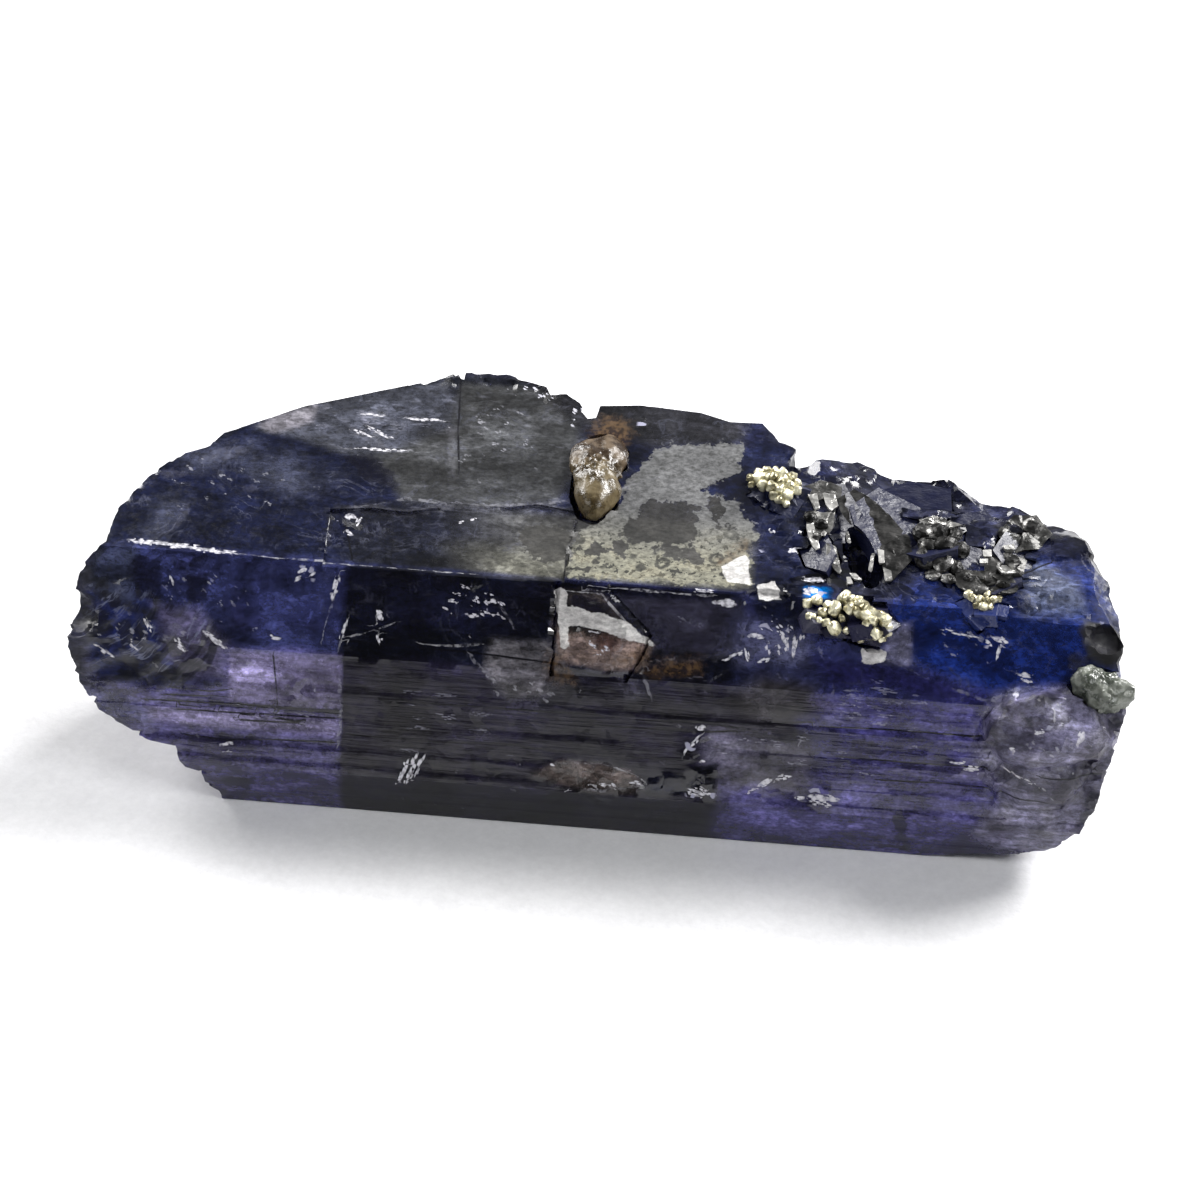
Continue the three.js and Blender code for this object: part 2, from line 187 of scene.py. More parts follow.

# %% [markdown]
# ## Lamps and world
# White paper under a bright window is nearly blown out. Two soft square lamps stand behind the stone, the
# right one twice as strong, so the shadow falls forward and to the left; the shine on the right half of the
# top is painted sheen in its colour. Two weak ones fill the front. The world is dark in front, because the
# bevel and the front face mirror what is behind the camera, and they are dark. Only the camera itself sees
# the world as white.

# %% Lamps and world
def lamp(name, place, aim, size, power, colour=(1, 1, 1)):
    """A square soft lamp, in mm, that faces its aim."""
    data = bpy.data.lights.new(name, "AREA")
    data.size = size * MM
    data.energy = power
    data.color = colour
    lamp_object = bpy.data.objects.new(name, data)
    lamp_object.location = Vector(place) * MM
    direction = Vector(aim) - Vector(place)
    lamp_object.rotation_euler = direction.to_track_quat("-Z", "Y").to_euler()
    bpy.context.scene.collection.objects.link(lamp_object)
    return lamp_object


WARM = (1.0, 0.99, 0.98)
COOL = (0.97, 0.98, 1.0)
lamp("back lamp left", (-150, 140, 130), (0, 0, 4), 110, 0.55, WARM)
lamp("back lamp right", (150, 125, 160), (0, 0, 4), 110, 1.10, WARM)
lamp("fill left", (-150, -80, 160), (0, 0, 3), 90, 0.105, COOL)
lamp("fill right", (150, -80, 160), (0, 0, 3), 90, 0.205, COOL)

world = bpy.data.worlds.new("pale studio")
world.use_nodes = True
bpy.context.scene.world = world
tree = world.node_tree
tree.nodes.clear()
direction = add(tree, "ShaderNodeTexCoord").outputs["Generated"]
split = add(tree, "ShaderNodeSeparateXYZ", {0: direction})
backness = fade(tree, split.outputs[1], -0.25, 0.75)
rightness = fade(tree, split.outputs[0], -0.22, 0.05)
backness = maths(tree, "MULTIPLY", backness, 0.40)
rightness = maths(tree, "ADD", maths(tree, "MULTIPLY", rightness, 0.75), 0.25)
glow = maths(tree, "ADD", maths(tree, "MULTIPLY", backness, rightness), 0.07)
seen = add(tree, "ShaderNodeLightPath").outputs["Is Camera Ray"]
strength = add(tree, "ShaderNodeMix", {0: seen, 2: glow, 3: 1.0}, data_type="FLOAT").outputs[0]
background = add(tree, "ShaderNodeBackground", {"Color": (*COOL, 1), "Strength": strength})
add(tree, "ShaderNodeOutputWorld", {"Surface": background.outputs[0]})
bpy.context.scene.view_settings.view_transform = "Standard"
bpy.context.scene.view_settings.look = "None"
bpy.context.scene.view_settings.exposure = 0.0
print("four lamps and a pale world")

# %% [markdown]
# ## Numbers that look like nature
# Breaks, growth steps and crumbs are all uneven, but the script has to give the same stone each time. So
# every uneven thing comes from hashed whole numbers: `chance` gives each cell of a lattice its own number,
# `cloud` blends those numbers smoothly, and `shards` turns them into flat tilted facets, like those of
# broken glass.

# %% Chance, cloud and shards
def chance(cells, seed):
    """A number from 0 to 1 for each lattice cell: whole numbers times large primes, with the bits mixed."""
    cells = np.asarray(cells, dtype=np.int64)
    mixed = cells[..., 0] * 73856093 ^ cells[..., 1] * 19349663 ^ cells[..., 2] * 83492791
    mixed = (mixed ^ (seed * 668265263)) & 0x7FFFFFFF
    mixed = (mixed ^ (mixed >> 13)) * 1274126177 & 0x7FFFFFFF
    mixed = (mixed ^ (mixed >> 16)) * 1911520717 & 0x7FFFFFFF
    return (mixed ^ (mixed >> 15)) / 0x7FFFFFFF


def cloud(points, size, seed=0):
    """Smooth noise from -1 to 1: the numbers at a cube's corners, blended by s*s*(3-2s) between them."""
    place = points / size
    cell = np.floor(place).astype(np.int64)
    part = place - cell
    part = part * part * (3 - 2 * part)
    total = np.zeros(len(points))
    for corner in np.ndindex(2, 2, 2):
        share = np.prod(np.where(np.array(corner) == 1, part, 1 - part), axis=1)
        total += share * chance(cell + np.array(corner), seed)
    return total * 2 - 1


def scattered(points, size, seed=0):
    """The nearest of seeds scattered one to a cell: its cell, and the way from it in cell sizes."""
    cell = np.floor(points / size).astype(np.int64)
    nearest = np.full(len(points), np.inf)
    home = np.zeros(points.shape, dtype=np.int64)
    away = np.zeros(points.shape)
    for step in np.ndindex(3, 3, 3):
        near = cell + np.array(step) - 1
        gap = points / size - near - np.stack([chance(near, seed + k) for k in range(3)], axis=1)
        distance = (gap**2).sum(axis=1)
        closer = distance < nearest
        nearest = np.where(closer, distance, nearest)
        home = np.where(closer[:, None], near, home)
        away = np.where(closer[:, None], gap, away)
    return home, away


def shards(points, size, seed=0):
    """Lift from about -1 to 1 by facets: each point takes the tilted plane of its nearest seed."""
    home, away = scattered(points, size, seed)
    tilt = np.stack([chance(home, seed + 5 + k) for k in range(3)], axis=1) - 0.5
    return 2 * (away * tilt).sum(axis=1) + 0.3 * (chance(home, seed + 9) - 0.5)


def blocks(points, size, seed=0):
    """A number from 0 to 1 for each point, the same all over its nearest seed's cell, with hard edges."""
    return chance(scattered(points, size, seed)[0], seed + 4)


def ease(value, start, end):
    """A smooth step from 0 at start to 1 at end."""
    part = np.clip((value - start) / (end - start), 0, 1)
    return part * part * (3 - 2 * part)


print("chance of three cells:", np.round(chance(np.arange(9).reshape(3, 3), 1), 3))

# %% [markdown]
# ## A chart of the crystal
# The prism's faces can be unrolled like a label from a tin. The chart's first coordinate is x along the
# crystal. The second, `around`, is the distance from the ridge along the section: positive down the bevel
# and the front, negative over the top and down the back. Every crack, stain and colour zone is then drawn
# on flat paper, in mm.

# %% Chart
SECTION_DOWN = np.array([(-1.924, 5.95), (-3.344, 4.25), (-4.394, 1.4), (-4.094, 0.0), (2.756, 0.0)])
SECTION_OVER = np.array([(-1.924, 5.95), (4.516, 7.2), (4.956, 5.4), (4.056, 2.0), (2.756, 0.0)])


def along_section(points, corners):
    """The way from the nearest side of a run of corners to each point, and how far along the run it is."""
    best = np.full(len(points), np.inf)
    travel = np.zeros(len(points))
    off = np.zeros(points.shape)
    start = 0.0
    for a, b in zip(corners[:-1], corners[1:]):
        length = np.hypot(*(b - a))
        part = np.clip(((points - a) @ (b - a)) / length**2, 0, 1)
        way = points - a - part[:, None] * (b - a)
        closer = np.hypot(*way.T) < best
        best = np.where(closer, np.hypot(*way.T), best)
        travel = np.where(closer, start + part * length, travel)
        off = np.where(closer[:, None], way, off)
        start += length
    return off, travel


def chart_of(points):
    """x and around for points in mm, and the way to each point from the nearest side of the section."""
    off_down, down = along_section(points[:, 1:], SECTION_DOWN)
    off_over, over = along_section(points[:, 1:], SECTION_OVER)
    low = np.hypot(*off_down.T) <= np.hypot(*off_over.T)
    around = np.where(low, down, -over)
    return np.stack([points[:, 0], around], axis=1), np.where(low[:, None], off_down, off_over)


def segment_distance(places, a, b):
    """Distance from each place on the chart to the straight line from a to b."""
    a, b = np.array(a), np.array(b)
    part = np.clip(((places - a) @ (b - a)) / max((b - a) @ (b - a), 1e-9), 0, 1)
    return np.hypot(*(places - a - part[:, None] * (b - a)).T)


def line_distance(places, *lines):
    """Distance from places on the chart to the nearest line, and the same with a sign for its two sides."""
    best = np.full(len(places), np.inf)
    side = np.zeros(len(places))
    for line in lines:
        line = np.array(line, dtype=float)
        for a, b in zip(line[:-1], line[1:]):
            distance = segment_distance(places, a, b)
            cross = (places[:, 0] - a[0]) * (b[1] - a[1]) - (places[:, 1] - a[1]) * (b[0] - a[0])
            side = np.where(distance < best, np.sign(cross), side)
            best = np.minimum(best, distance)
    return best, best * side


def inside(places, *outlines):
    """How deep inside the nearest of several outlines each place is, in mm; outside it is negative."""
    best = np.full(len(places), -9.0)
    x, y = places.T
    for outline in outlines:
        corners = list(zip(outline, outline[1:] + outline[:1]))
        crossings = np.zeros(len(places), dtype=int)
        for (ax, ay), (bx, by) in corners:
            crosses = (ay > y) != (by > y)
            run = (bx - ax) * (y - ay) / (by - ay if by != ay else 1e-9) + ax
            crossings += crosses & (x < run)
        edge = np.min([segment_distance(places, a, b) for a, b in corners], axis=0)
        best = np.maximum(best, np.where(crossings % 2 == 1, edge, -edge))
    return best


print("chart runs from", np.round(-along_section(SECTION_OVER[-1:], SECTION_OVER)[1], 2), "to",
      np.round(along_section(SECTION_DOWN[-1:], SECTION_DOWN)[1], 2), "mm")

# %% [markdown]
# ## The crystal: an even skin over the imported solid
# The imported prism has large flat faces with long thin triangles, which can't carry fine relief. A remesh
# gives the same shape an even skin of small quads, and its Sharp mode keeps the crisp edges of breaks and
# cleavages. It runs on a copy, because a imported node's own mesh is never changed.

# %% Crystal skin
def merged_copy(node):
    """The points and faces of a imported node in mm, with the points that share a place made one."""
    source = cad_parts[node].data
    points = np.empty(len(source.vertices) * 3, dtype=np.float32)
    source.vertices.foreach_get("co", points)
    points = points.reshape(-1, 3).astype(np.float64)
    corners = np.empty(len(source.loops), dtype=np.int32)
    source.loops.foreach_get("vertex_index", corners)
    _, first, same = np.unique(
        np.round(points * 1e7).astype(np.int64), axis=0, return_index=True, return_inverse=True,
    )
    faces = same.reshape(-1)[corners].reshape(-1, 3)
    whole = (faces[:, 0] != faces[:, 1]) & (faces[:, 1] != faces[:, 2]) & (faces[:, 0] != faces[:, 2])
    return points[first] / MM, faces[whole]


def even_skin(node, depth, scale):
    """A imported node's surface as an even skin of small quads, in mm: a remeshed copy."""
    points, faces = merged_copy(node)
    rough = bpy.data.meshes.new(node + ".rough")
    rough.from_pydata(points.tolist(), [], faces.tolist())
    holder = bpy.data.objects.new(node + ".rough", rough)
    bpy.context.scene.collection.objects.link(holder)
    remesh = holder.modifiers.new("skin", "REMESH")
    remesh.mode = "SHARP"
    remesh.octree_depth = depth
    remesh.scale = scale
    remesh.use_remove_disconnected = False
    seen_by = bpy.context.evaluated_depsgraph_get()
    skin = bpy.data.meshes.new_from_object(holder.evaluated_get(seen_by))
    bpy.data.objects.remove(holder)
    bpy.data.meshes.remove(rough)
    return skin


def points_of(mesh):
    """A mesh's points as an array."""
    flat = np.empty(len(mesh.vertices) * 3, dtype=np.float32)
    mesh.vertices.foreach_get("co", flat)
    return flat.reshape(-1, 3).astype(np.float64)


def normals_of(mesh):
    """A mesh's point normals as an array."""
    flat = np.empty(len(mesh.vertices) * 3, dtype=np.float32)
    mesh.vertex_normals.foreach_get("vector", flat)
    return flat.reshape(-1, 3).astype(np.float64)


SKIN_DEPTH, SKIN_SCALE = 8, 0.9
crystal_mesh = even_skin("tanzanite_crystal", SKIN_DEPTH, SKIN_SCALE)
crystal_mesh.name = "tanzanite_prism"
skin = points_of(crystal_mesh)
facing = normals_of(crystal_mesh)
chart, off_section = chart_of(skin)
along, around = chart.T
print(
    len(skin), "points,", len(crystal_mesh.polygons), "faces; chart",
    np.round([chart.min(0), chart.max(0)], 1),
)

# %% [markdown]
# ## Relief: growth steps and broken places
# Tanzanite prisms carry fine growth steps along their length, and they break with small flat facets. Both
# are moves of the skin along its own normal. The steps depend almost only on `around`, so they run straight
# along x. The facets come from `shards` and count only where the stone is broken: at both ends, along the
# back, in the chip under the ridge, and round the graphite. Both are kept small, so that the skin stays on
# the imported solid.

# %% Relief
prism_side = ease(np.hypot(facing[:, 1], facing[:, 2]), 0.80, 0.97)
stretched = np.stack([along / 14, around, np.zeros(len(skin))], axis=1)
steps = np.tanh(2.0 * cloud(stretched, 1.3, 3)) + 0.5 * np.tanh(3 * cloud(stretched * (2.2, 1, 1), 0.55, 4))
steps += 0.35 * cloud(stretched * (4, 1, 1), 0.25, 5)
on_front = ease(around, 1.9, 2.6)
on_bevel = ease(around, -0.1, 0.2) * (1 - on_front)
on_top = ease(-around, 0.0, 0.4) * (1 - ease(-around, 6.3, 6.7))
on_back = ease(-around, 6.4, 6.8)
front_middle = ease(along, -6.3, -6.0) * (1 - ease(along, 4.0, 6.0))
step_height = 0.005 * on_front * (1 - 0.7 * front_middle)
step_height = step_height + 0.003 * on_bevel + 0.003 * on_top + 0.030 * on_back

gap = np.hypot(*off_section.T)
evened = 0.88 * (1 - ease(gap, 0.20, 0.40))
evened = np.maximum(evened, 0.97 * front_middle * (1 - ease(gap, 0.5, 0.8)))
evened = evened * prism_side * np.maximum(on_front, on_bevel)
skin[:, 1:] -= evened[:, None] * off_section

CHIP = [
    (-0.95, 0.2), (0.1, 0.25), (0.95, 1.15), (1.4, 1.4), (1.1, 2.0), (0.3, 2.1), (-0.8, 1.9), (-1.05, 1.1),
]
LENS = [(-1.4, 4.9), (-0.7, 4.45), (0.3, 4.45), (1.4, 4.7), (3.1, 4.2), (3.1, 5.0), (1.3, 5.15), (0.0, 5.2)]
SCOOP = [(-12.6, 0.4), (-11.0, 0.9), (-9.4, 1.3), (-8.8, 2.0), (-8.9, 3.3), (-10.4, 3.5), (-12.4, 3.4)]
broken_left = 1 - ease(along + 0.25 * (around - 2), -11.2, -9.0)
broken_right = ease(along, 10.6, 12.0) * (0.15 + 0.85 * ease(around, 1.0, 2.2))
broken_top = ease(along, 3.4, 4.6) * ease(-around, -0.3, 0.4) * (1 - ease(-around, 7.5, 8.5))
broken_back = on_back * ease(np.abs(cloud(skin * (0.5, 1, 1), 2.2, 8)), 0.15, 0.4)
chip_depth = inside(chart, CHIP)
lens_depth = inside(chart, LENS)
scoop = ease(inside(chart, SCOOP), -0.1, 0.3)
broken = np.maximum.reduce([
    0.30 * broken_left * (1 - 0.9 * on_top),
    0.7 * broken_right,
    0.8 * broken_top,
    0.9 * broken_back,
    0.6 * ease(chip_depth, -0.1, 0.15),
    0.7 * ease(lens_depth, -0.1, 0.15),
])
facet_lift = 0.13 * shards(skin, 1.1, 20) + 0.06 * shards(skin, 0.45, 40)
facet_lift *= 1 - 0.35 * broken_top
rim = np.maximum(1 - prism_side, ease(-around, 5.7, 6.3) * (1 - ease(-around, 6.9, 7.5)))
rim = rim * (1 - 0.75 * ease(along, 9.5, 11.0) * (1 - ease(around, 1.5, 2.5)))
end_steps = rim * (0.07 * shards(skin * (1, 0.7, 1), 0.7, 60) + 0.05 * shards(skin, 0.33, 62))
KNOBS = [(9.35, 2.45), (9.6, 2.05), (10.4, 1.75), (11.3, 1.7), (14.0, 1.6), (14.0, 6.4), (10.0, 6.3),
         (9.2, 5.6), (9.7, 4.6), (9.3, 3.9), (9.15, 3.1)]
knob_zone = ease(inside(chart, KNOBS) + 0.25 * cloud(skin, 0.8, 73), -0.25, 0.25)
knob_lumps = 0.05 * cloud(skin, 0.7, 70) + 0.03 * cloud(skin, 0.3, 71)
SHELL_ALONG, SHELL_AROUND = -12.9, 0.3
shell_radius = np.hypot(along - SHELL_ALONG, around - SHELL_AROUND) + 0.12 * cloud(skin, 0.9, 72)
shell_ribs = np.sin(2 * np.pi * shell_radius**0.8 / 0.42) * scoop * ease(shell_radius, 1.0, 1.8)
lift = prism_side * step_height * steps * (1 - 0.8 * broken) * (1 - 0.6 * knob_zone) * (1 - scoop)
lift += broken * facet_lift * (1 - 0.7 * knob_zone) * (1 - 0.7 * scoop) + end_steps + knob_zone * knob_lumps
lift += 0.020 * shell_ribs + 0.02 * scoop * shards(skin, 0.9, 75)
lift *= ease(skin[:, 2], 0.0, 0.25)
skin = skin + facing * lift[:, None]
low, high = (np.array(corner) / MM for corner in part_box("tanzanite_crystal"))
SKIN_ROOM = 0.02
skin = np.clip(skin, low - SKIN_ROOM, high + SKIN_ROOM)
crystal_mesh.vertices.foreach_set("co", (skin * MM).ravel())
crystal_mesh.update()
crystal_mesh.shade_smooth()
crystal_mesh.set_sharp_from_angle(angle=np.radians(20))
crystal = bpy.data.objects.new("tanzanite_prism", crystal_mesh)
bpy.context.scene.collection.objects.link(crystal)
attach(crystal, "root")
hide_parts("tanzanite_crystal")
print("relief from", round(lift.min(), 3), "to", round(lift.max(), 3), "mm")

# %% [markdown]
# ## Colour zones
# A rough tanzanite isn't one colour: it grades from violet through grey to royal blue, and it carries
# frosted, silvery and stained patches. Each zone is a soft or ragged outline on the chart. The zones are
# laid over each other like thin washes, and the result is kept on the skin's points as a colour, a
# clearness and a dullness. The crisp ones also keep their depth in mm, so that the shader can cut a sharp
# ragged edge between two points.

# %% Zones
wander = 0.30 * cloud(skin, 0.9, 80) + 0.14 * cloud(skin, 0.35, 81)
soft_wander = 0.8 * cloud(skin * (0.6, 1, 1), 2.0, 82) + 0.4 * cloud(skin, 0.8, 83)

NAVY = (0.022, 0.026, 0.080)
INK = (0.002, 0.0025, 0.007)
TOP_BLUE = (0.006, 0.008, 0.026)
VIOLET = (0.110, 0.097, 0.180)
DEEP_VIOLET = (0.055, 0.049, 0.130)
INDIGO = (0.040, 0.036, 0.095)
SMOKE = (0.007, 0.006, 0.015)
RIGHT_VIOLET = (0.049, 0.045, 0.160)
ROYAL = (0.008, 0.019, 0.120)
GREY = (0.032, 0.033, 0.035)
LILAC_GREY = (0.040, 0.043, 0.058)
KNOB = (0.088, 0.084, 0.134)

colour = np.tile(np.array(NAVY), (len(skin), 1))
clear = np.full(len(skin), 0.45)
dull = np.full(len(skin), 0.08)


def wash(share, tint=None, clearness=None, dullness=None):
    """Lays a wash over the skin: each value moves towards the new one by the share, from 0 to 1."""
    global colour, clear, dull
    if tint is not None:
        colour = colour + share[:, None] * (np.array(tint) - colour)
    if clearness is not None:
        clear = clear + share * (clearness - clear)
    if dullness is not None:
        dull = dull + share * (dullness - dull)


def patch(outline, ragged=0.4, soft=0.25):
    """The share of a wash that fills an outline on the chart, with a wandering soft edge."""
    return ease(inside(chart, outline) + ragged * soft_wander, -soft, soft)


front_low = ease(around + 0.25 * wander, 2.05, 2.35)
left_part = 1 - ease(along + 0.15 * wander, -6.2, -6.0)
right_part = ease(along - 0.45 * (around - 3.5) + 0.5 * soft_wander, 4.9, 5.5)
middle_part = (1 - left_part) * (1 - right_part)
# the middle of the bevel is nearly black, and the top is a dark blue
wash(ease(around, -0.02, 0.08) * middle_part * (1 - ease(along, 3.0, 4.5)), INK, 0.35, 0.06)
wash(ease(-around, 0.02, 0.2) * (1 - on_back), TOP_BLUE, 0.35, 0.13)
# the front: smoky in the middle, violet at the left with two paler stripes, and indigo at its foot
wash(front_low * middle_part, SMOKE, 0.28, 0.16)
wash(front_low * left_part, DEEP_VIOLET, 0.35, 0.16)
wash(patch([(-8.8, 2.3), (-6.05, 2.2), (-6.05, 3.6), (-8.8, 3.6)], 0.05, 0.06), VIOLET, 0.3, 0.2)
wash(patch([(-10.9, 3.85), (-6.05, 3.75), (-6.05, 4.35), (-10.7, 4.3)], 0.08, 0.08), VIOLET, 0.3, 0.2)
wash(ease(around, 4.3, 4.6) * left_part, INDIGO)
# the front's right: blue-violet with paler streaks, and a smoky foot towards the middle
wash(front_low * right_part, RIGHT_VIOLET, 0.35, 0.16)
violet_streaks = front_low * right_part * ease(cloud(stretched * (1.5, 1, 1), 0.5, 90), 0.0, 0.5)
wash(violet_streaks * (1 - ease(around, 3.6, 4.4)), VIOLET)
wash(ease(around, 4.4, 5.4) * right_part, INDIGO)
wash(patch([(3.0, 4.2), (8.5, 3.9), (9.2, 5.0), (8.5, 6.7), (3.2, 6.7)], 0.4), (0.056, 0.051, 0.150))
wash(ease(around, 5.0, 5.8) * middle_part * (1 - ease(along, 2.0, 4.0)), (0.004, 0.0035, 0.009))
wash(
    patch([(2.4, 4.4), (2.7, 3.6), (3.0, 3.2), (4.1, 3.3), (5.5, 3.5), (5.2, 4.8), (3.4, 5.0)], 0.4, 0.3),
    (0.060, 0.056, 0.085),
)
wash(patch([(4.0, 1.9), (5.4, 2.0), (5.2, 2.9), (4.2, 3.2), (3.4, 2.6)], 0.4, 0.3), (0.026, 0.024, 0.028))
# the royal blue right half of the bevel, with a darker lower edge
wash(
    patch([(6.6, 0.0), (7.8, -1.6), (12.9, -1.9), (12.9, 1.6), (9.4, 1.95), (7.2, 1.45)], 0.35), ROYAL, 0.4,
    0.12,
)
wash(patch([(5.0, 1.3), (7.2, 1.2), (9.4, 1.9), (9.3, 2.4), (5.6, 2.2)], 0.3), (0.014, 0.014, 0.070))
# the frosted back half of the top: lilac at the left, grey in the middle
LILAC_TOP = [
    (-9.03, -4.23), (-8.14, -5.21), (-6.7, -5.66), (-4.52, -6.39), (-4.06, -4.57), (-5.02, -3.81),
    (-5.85, -3.56), (-6.55, -3.59), (-7.31, -3.92),
]
GREY_TOP = [
    (-4.25, -6.41), (-3.01, -6.46), (-2.1, -6.27), (-1.25, -5.87), (-1.08, -4.52), (-1.2, -2.42),
    (-2.68, -2.18), (-5.03, -2.15), (-5.43, -2.77), (-5.94, -3.52), (-5.04, -3.94), (-4.12, -4.64),
]
lilac_patch = patch(LILAC_TOP, 0.25, 0.12)
grey_patch = patch(GREY_TOP, 0.3, 0.25)
wash(lilac_patch, LILAC_GREY, 0.25, 0.25)
wash(grey_patch, GREY, 0.2, 0.30)
wash(
    patch(
        [
            (-8.93, -4.28), (-8.68, -4.68), (-8.09, -4.94), (-7.72, -5.11), (-7.72, -4.56), (-8.09, -4.32),
            (-8.66, -4.13),
        ],
        0.1, 0.1,
    ),
    (0.20, 0.19, 0.22), 0.2, 0.3,
)
# hazy patches in the dark left of the top
haze_patches = (
    [(-10.68, -3.26), (-10.06, -3.56), (-9.19, -3.51), (-9.26, -3.06), (-9.85, -2.74), (-10.45, -2.75)],
    [(-11.21, -1.55), (-10.82, -1.85), (-10.23, -1.64), (-10.35, -0.98), (-10.7, -0.3), (-11.12, -0.65)],
    [(-9.05, -2.75), (-8.27, -3.09), (-6.94, -2.62), (-7.6, -2.16), (-8.56, -2.27)],
)
for outline in haze_patches:
    wash(0.85 * patch(outline, 0.5, 0.5), (0.046, 0.051, 0.082), 0.35, 0.2)
# the lower strip along the ridge turns silvery and then cream towards the right: a pale film with painted
# sheen
strip = ease(-around, 0.05, 0.2) * (1 - ease(-around, 1.9, 2.3))
strip = strip * ease(along, -6.6, -5.9) * (1 - ease(along, 3, 4))
wash(strip, (0.006, 0.007, 0.014), 0.35, 0.18)
wash(strip * ease(along + 0.8 * wander, -4.4, -0.8), (0.065, 0.065, 0.063), 0.2, 0.3)
cream = strip * ease(along - 1.2 * around, -3.4, -1.2) * (1 - ease(-around, 0.3, 1.3))
wash(cream, (0.17, 0.168, 0.140), 0.1, 0.3)
# the glassy back edge of the top, and the cleft between the silver and the graphite
wash(
    patch([(-2.5, -6.4), (3.2, -6.0), (3.0, -4.9), (0.9, -4.6), (-0.9, -5.0)], 0.3), (0.015, 0.015, 0.019),
    0.3, 0.2,
)
wash(
    patch([(3.0, -6.6), (4.6, -6.2), (5.2, -4.6), (4.4, -4.2), (3.1, -4.9)], 0.3), (0.006, 0.007, 0.022),
    0.3, 0.1,
)
CLEFT = [
    (2.1, -3.3), (3.1, -3.75), (3.3, -5.0), (4.3, -4.6), (4.9, 1.0), (3.9, 1.0), (3.55, -0.3), (3.6, -1.9),
    (2.9, -3.15),
]
wash(ease(inside(chart, CLEFT), -0.05, 0.12), (0.006, 0.008, 0.027), 0.3, 0.08)
# the broken top right, with its hazy patch and the dull end
wash(broken_top * ease(along, 4.6, 5.4) * 0.8, (0.010, 0.011, 0.026), 0.28, 0.1)
wash(
    0.8 * patch(
        [(6.9, 0.3), (7.6, -0.9), (9.2, -1.3), (10.3, -1.9), (12.9, -2.2), (12.9, 0.6), (9.0, 0.6)], 0.3,
    ),
    (0.007, 0.015, 0.085), 0.4, 0.12,
)
wash(patch([(10.0, -1.9), (11.6, -1.4), (11.6, -0.3), (10.2, -0.2)], 0.6), (0.062, 0.075, 0.130), 0.3, 0.25)
wash(ease(along, 11.4, 12.0) * (1 - ease(around, 0.8, 1.6)), None, 0.3, 0.50)
# the round pit at the right end, and a pale tile beside the pyrite
PIT = [(11.35, 0.25), (11.6, -0.05), (12.1, -0.05), (12.5, 0.3), (12.5, 0.9), (12.1, 1.1), (11.6, 0.9)]
wash(patch(PIT, 0.1, 0.1), (0.003, 0.003, 0.006), 0.3, 0.55)
wash(
    patch(
        [(6.88, 0.43), (7.44, 0.39), (7.55, 1.46), (6.89, 1.42), (6.34, 1.41), (6.32, 1.13), (6.86, 1.04)],
        0.05, 0.06,
    ),
    (0.12, 0.12, 0.21), 0.3, 0.2,
)
# the rim of the top, and painted light on the low wall between its ledges, which faces forward into shade
wash(ease(-around, 6.05, 6.3) * (1 - on_back), (0.006, 0.007, 0.012), 0.3, 0.15)
painted_ledge_light = on_top * ease(-facing[:, 1], 0.35, 0.7)
painted_ledge_light = painted_ledge_light * (1 - ease(along, -1.2, -0.8)) * ease(along, -7.0, -6.2)
wash(painted_ledge_light * 0.7, (0.20, 0.20, 0.22), 0.2, 0.3)
# the shell-like break at the left end: a blue hollow with violet and dark facets round it
wash(scoop, (0.006, 0.010, 0.055), 0.45, 0.30)
wash(
    patch([(-10.79, 1.23), (-9.56, 1.28), (-8.79, 2.04), (-8.77, 3.1), (-9.73, 3.23), (-10.34, 2.67)], 0.2),
    (0.062, 0.056, 0.110), 0.35, 0.30,
)
wash(
    patch(
        [
            (-12.65, 0.76), (-12.41, 0.02), (-12.2, -0.87), (-11.93, -0.5), (-11.96, 0.06), (-12.17, 0.56),
            (-12.48, 0.99),
        ],
        0.1, 0.1,
    ),
    (0.008, 0.009, 0.014),
)
wash(
    0.8 * patch(
        [
            (-12.29, 0.91), (-12.09, 0.36), (-11.78, -0.03), (-11.21, 0), (-11.1, 1.3), (-11.56, 1.41),
            (-12.07, 1.18),
        ],
        0.15, 0.15,
    ),
    (0.030, 0.035, 0.062),
)
wash(
    patch([(-13.0, 1.3), (-12.1, 1.6), (-12.0, 3.2), (-10.9, 3.7), (-10.5, 4.4), (-12.9, 4.4)], 0.3),
    (0.050, 0.050, 0.105), 0.4, 0.2,
)
# the dull left end, and painted shade on the slopes along the top's edge, darker where they turn away from
# up
wash(1 - ease(along, -12.5, -12.1), (0.012, 0.013, 0.030), 0.35, 0.55)
top_edge_shade = ease(-around, 0.5, 1.0) * (1 - on_back) * (1 - ease(facing[:, 2], 0.62, 0.90))
wash(0.75 * top_edge_shade, (0.008, 0.009, 0.017), 0.3, 0.12)
# the frosted knobs, with pale and dark mottling
wash(knob_zone, KNOB, 0.25, 0.34)
wash(0.6 * knob_zone * ease(cloud(skin, 0.5, 92), 0.1, 0.6), (0.17, 0.165, 0.21))
wash(0.7 * knob_zone * ease(cloud(skin, 0.45, 93), 0.1, 0.5), (0.045, 0.040, 0.070))
# the back, darker where it is broken
wash(on_back * (1 - broken_back), (0.020, 0.018, 0.044), 0.4, 0.28)
wash(on_back * broken_back, (0.009, 0.011, 0.034), 0.5, 0.25)
# glassy windows in the bevel
wash(patch([(0.4, 0.3), (3.4, 0.25), (3.5, 1.4), (1.2, 1.55)], 0.1, 0.1), (0.022, 0.022, 0.032), 0.4, 0.05)
wash(patch([(3.4, 0.7), (5.2, 0.8), (5.2, 1.7), (3.5, 1.6)], 0.4), (0.045, 0.047, 0.085), 0.4, 0.1)
wash(
    patch([(-2.45, 1.55), (-0.7, 1.45), (-0.6, 2.7), (-2.0, 2.9), (-2.6, 2.3)], 0.15, 0.1) * 0.7,
    (0.10, 0.095, 0.105), 0.3, 0.2,
)
